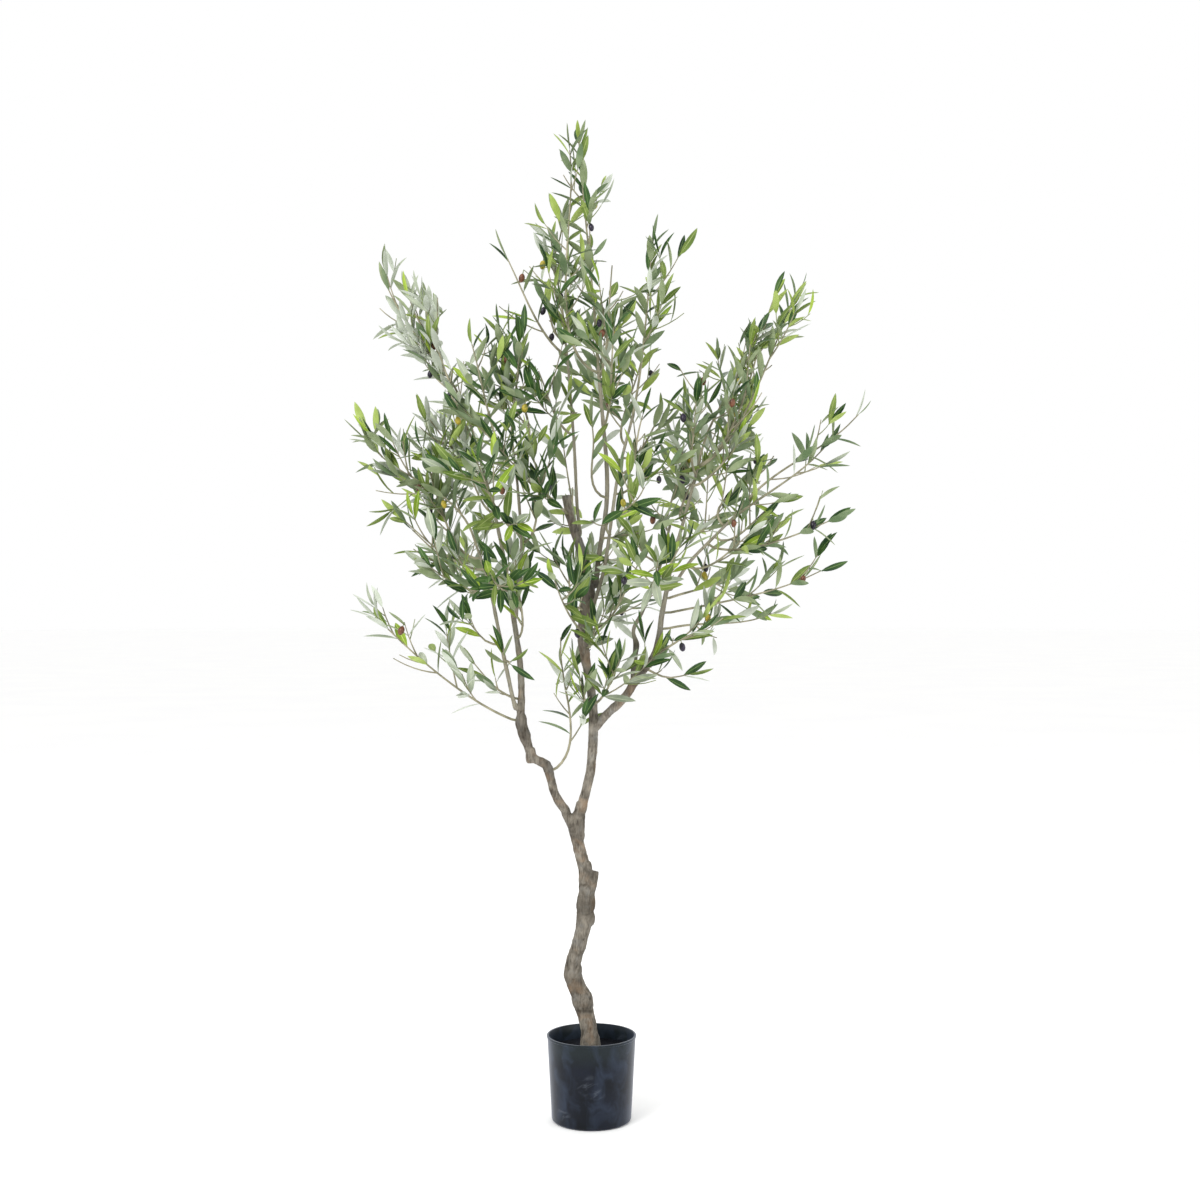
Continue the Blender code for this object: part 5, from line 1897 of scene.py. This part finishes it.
    def olive_places(self) -> dict[OliveTone, Sprigs]:
        """Hang the photo's olives from the shoots nearest to them in view, and a few more behind.

        Returns:
            Where the olives of each colour go.
        """
        spots = [point for shoot in self.shoots for point in shoot.axis.rings(self.olive_rings)[1:]]
        seen = [(self.viewpoint.pixel(spot), spot) for spot in spots]
        hung = {tone: Sprigs() for tone in OliveTone}
        dice = random.Random(self.olive_seed)

        def hang(tone: OliveTone, spot: Vector) -> None:
            """Hang one olive.

            Args:
                tone: Its colour.
                spot: Where its stalk is joined on.
            """
            sway = [dice.uniform(-self.olive_sway, self.olive_sway) for _ in range(2)]
            way = Vector((*sway, -1.0)).normalized()
            size = dice.uniform(*self.olive_sizes)
            hung[tone].add(spot, way, around(way, dice.uniform(*self.olive_turn)), (size, size, size), 0)

        drop = self.olive_drop * self.olive_length * self.pixels_per_metre
        for tone, pixels in OLIVE_PIXELS.items():
            for across, down in pixels:
                near = [(math.hypot(x - across, y + drop - down), spot) for (x, y), spot in seen]
                near = [(away + self.olive_depth * (spot.y - self.olive_front), spot)
                        for away, spot in near if away < self.olive_reach]
                if near:
                    hang(tone, min(near, key=lambda item: item[0])[1])
        behind = [spot for spot in spots if spot.y > self.hidden_from]
        for _ in range(self.hidden_olives):
            hang(dice.choices(list(OliveTone), self.hidden_kinds)[0], dice.choice(behind))
        return hung

    def build(self) -> None:
        """Build the stems, the shoots, the leaves of each kind and the olives of each colour."""
        nodes = ["foliage_" + spray.name for spray in SPRAYS]

        def make(name: str, mesh: Mesh, recipe: Recipe, values: dict[str, object]) -> None:
            """Run a recipe on a mesh and keep the result.

            Args:
                name: The piece's name.
                mesh: The mesh that guides the recipe.
                recipe: The recipe.
                values: The values of its inputs.
            """
            made = add_object(name, mesh)
            recipe.run(made, values)
            keep_piece(made, nodes)

        tubes = tube_recipe()
        for name, finish, levels, sides in (("spray_stems", STEM_BARK, (0, 1), 6),
                                            ("fine_shoots", SHOOT_BARK, (2,), 4)):
            strands = [shoot.strand() for shoot in self.shoots if shoot.level in levels]
            make(name, strand_mesh(name, strands), tubes, {"Sides": sides, "Material": finish.material()})
        values = {"Shapes": LeafShape().build(), "Width": self.leaf_width, "Depth": self.leaf_length,
                  "Length": self.leaf_length}
        recipe = scatter_recipe("leaves_on_shoots", ("under", "rib"))
        for finish in LEAF_FINISHES:
            name = "leaves_" + finish.tone.value
            make(name, self.leaves[finish.tone].mesh(name), recipe, {**values, **finish.materials()})
        values = {"Shapes": OliveShape().build(), "Width": self.olive_width, "Depth": self.olive_width,
                  "Length": self.olive_length, "stalk": SHOOT_BARK.material()}
        recipe = scatter_recipe("olives_on_shoots", ("stalk",))
        for tone, sprigs in self.olive_places().items():
            name = "olives_" + tone.value
            make(name, sprigs.mesh(name), recipe, {**values, "Material": OLIVE_FINISHES[tone].material()})


@dataclass
class Pot:
    """The grower's pot: a thin turned cup with a lipped rim and a rounded foot."""

    height: float = 0.177
    rim_radius: float = 0.092
    foot_radius: float = 0.083
    wall: float = 0.0030
    floor: float = 0.0040
    # How far the lip stands out, its height, and the roundings of lip, foot and corner
    lip: float = 0.0012
    lip_height: float = 0.0040
    soft: float = 0.0006
    rim_lean: float = 0.3
    foot_rounding: float = 0.0060
    fillet: float = 0.003
    # The section's points: on the floor, up the wall, down the outside, underneath
    floor_shares: Range = (0.5, 0.93)
    wall_shares: Point = (0.3, 0.6, 0.9)
    steps: int = 8
    below_lip: float = 0.012
    underside_share: float = 0.6
    segments: int = 128

    def inner_radius(self, height: float) -> float:
        """The radius of the pot's inside at a height."""
        return self.foot_radius + (self.rim_radius - self.foot_radius) * height / self.height - self.wall

    def profile(self) -> list[Range]:
        """Run the section from the middle of the floor over the rim to the middle of the underside.

        Returns:
            Radii and heights.
        """
        lip, soft, top = self.rim_radius + self.lip, self.soft, self.height
        under = top - self.lip_height
        section = [(0.0, self.floor)]
        section += [(self.inner_radius(self.floor) * share, self.floor) for share in self.floor_shares]
        heights = [self.floor + self.fillet] + [top * share for share in self.wall_shares]
        section += [(self.inner_radius(height), height) for height in heights]
        inner = self.inner_radius(top)
        section += [(inner + soft * self.rim_lean, top - soft), (inner + soft, top), (lip - soft, top),
                    (lip, top - soft), (lip, under), (lip - soft, under - soft),
                    (self.rim_radius, under - self.lip)]
        for step in range(1, self.steps):
            share = 1.0 - step / self.steps
            outer = self.foot_radius + (self.rim_radius - self.foot_radius) * share
            section.append((outer, self.foot_rounding + (top - self.below_lip) * share))
        for step in range(self.steps + 1):
            angle = QUARTER_TURN * step / self.steps
            section.append((self.foot_radius - self.foot_rounding * (1.0 - math.cos(angle)),
                            self.foot_rounding * (1.0 - math.sin(angle))))
        return section + [(self.foot_radius * self.underside_share, 0.0), (0.0, 0.0)]

    def build(self) -> None:
        """Build the pot."""
        keep_piece(add_object("pot_shell", turned_mesh("pot_shell", self.profile(), self.segments), PLASTIC),
                   ["pot"])


@dataclass
class Fill:
    """The cement in the pot: flat, rough on top, a little higher round the trunk, and near-black, which is
    partly its own colour and partly painted shade.
    """

    pot: Pot
    top: float = FILL_TOP
    gap: float = 0.0004
    # How much higher it stands at the trunk, and how far round that reaches
    mound: float = 0.0035
    mound_radius: float = 0.028
    # The depth of its roughness, its seed, and the lower edge's bevel
    roughness: float = 0.0010
    seed: int = 11
    bevel: float = 0.004
    segments: int = 96
    rings: int = 26

    def build(self) -> None:
        """Build the fill."""
        edge = self.pot.inner_radius(self.top) - self.gap
        low = self.pot.floor + self.gap
        section = [(edge * ring / self.rings, self.top) for ring in range(self.rings + 1)]
        section += [(self.pot.inner_radius(low + self.bevel) - self.gap, low + self.bevel),
                    (self.pot.inner_radius(low + self.pot.fillet) - self.gap - self.bevel, low), (0.0, low)]
        mesh = turned_mesh("cement_fill", section, self.segments)
        dice = np.random.default_rng(self.seed)
        for vert in mesh.vertices:
            if vert.co.z > self.top - self.gap:
                away = math.hypot(vert.co.x - TRUNK_PLACE[0], vert.co.y - TRUNK_PLACE[1])
                rise = self.mound * math.exp(-(away / self.mound_radius) ** 2)
                vert.co.z += rise - self.roughness * dice.random()
        keep_piece(add_object("cement_fill", mesh, CEMENT_WITH_PAINTED_SHADE), ["pot_fill"])


@dataclass
class Studio:
    """A plain pale floor under soft white light."""

    floor_radius: float = 60.0
    # The heights of the floor's top, just under the pot, and of its underside
    floor_heights: Range = (-0.0004, -0.5)
    floor_segments: int = 64
    sky: float = 1.0
    lights: tuple[tuple[str, Point, float], ...] = (
        ("key_light", (-2.4, -3.2, 3.4), 120.0), ("fill_light", (3.0, -2.4, 1.4), 36.0),
        ("back_light", (0.6, 3.2, 3.2), 30.0))
    light_size: float = 2.0
    aim: Point = (0.0, 0.0, 1.1)

    def build(self) -> None:
        """Make the floor, the lights and the white surround."""
        top, under = self.floor_heights
        section = [(0.0, top), (self.floor_radius, top), (self.floor_radius, under), (0.0, under)]
        add_object("floor", turned_mesh("floor", section, self.floor_segments), FLOOR)
        for name, place, power in self.lights:
            light = bpy.data.lights.new(name, "AREA")
            light.size = self.light_size
            light.energy = power
            made = add_object(name, light)
            made.location = place
            made.rotation_mode = "QUATERNION"
            made.rotation_quaternion = (Vector(self.aim) - Vector(place)).to_track_quat("-Z", "Y")
        world = bpy.data.worlds.new("white_surround")
        world.use_nodes = True
        Wiring(world.node_tree).feed(world.node_tree.nodes["Background"],
                                     {"Color": (1.0, 1.0, 1.0, 1.0), "Strength": self.sky})
        bpy.context.scene.world = world
        bpy.context.scene.view_settings.view_transform = "Standard"
        LOG.info("studio: floor, %d lights", len(self.lights))


def main() -> None:
    """Build the tree, its pot and the studio."""
    logging.basicConfig(level=logging.INFO, format="%(name)s: %(message)s")
    viewpoint = Viewpoint()
    viewpoint.build()
    pot = Pot()
    pot.build()
    Fill(pot).build()
    skeleton = Skeleton()
    skeleton.grow()
    Bark(skeleton).build()
    crown = Crown(skeleton, viewpoint)
    crown.grow()
    crown.build()
    Studio().build()


if __name__ == "__main__":
    main()
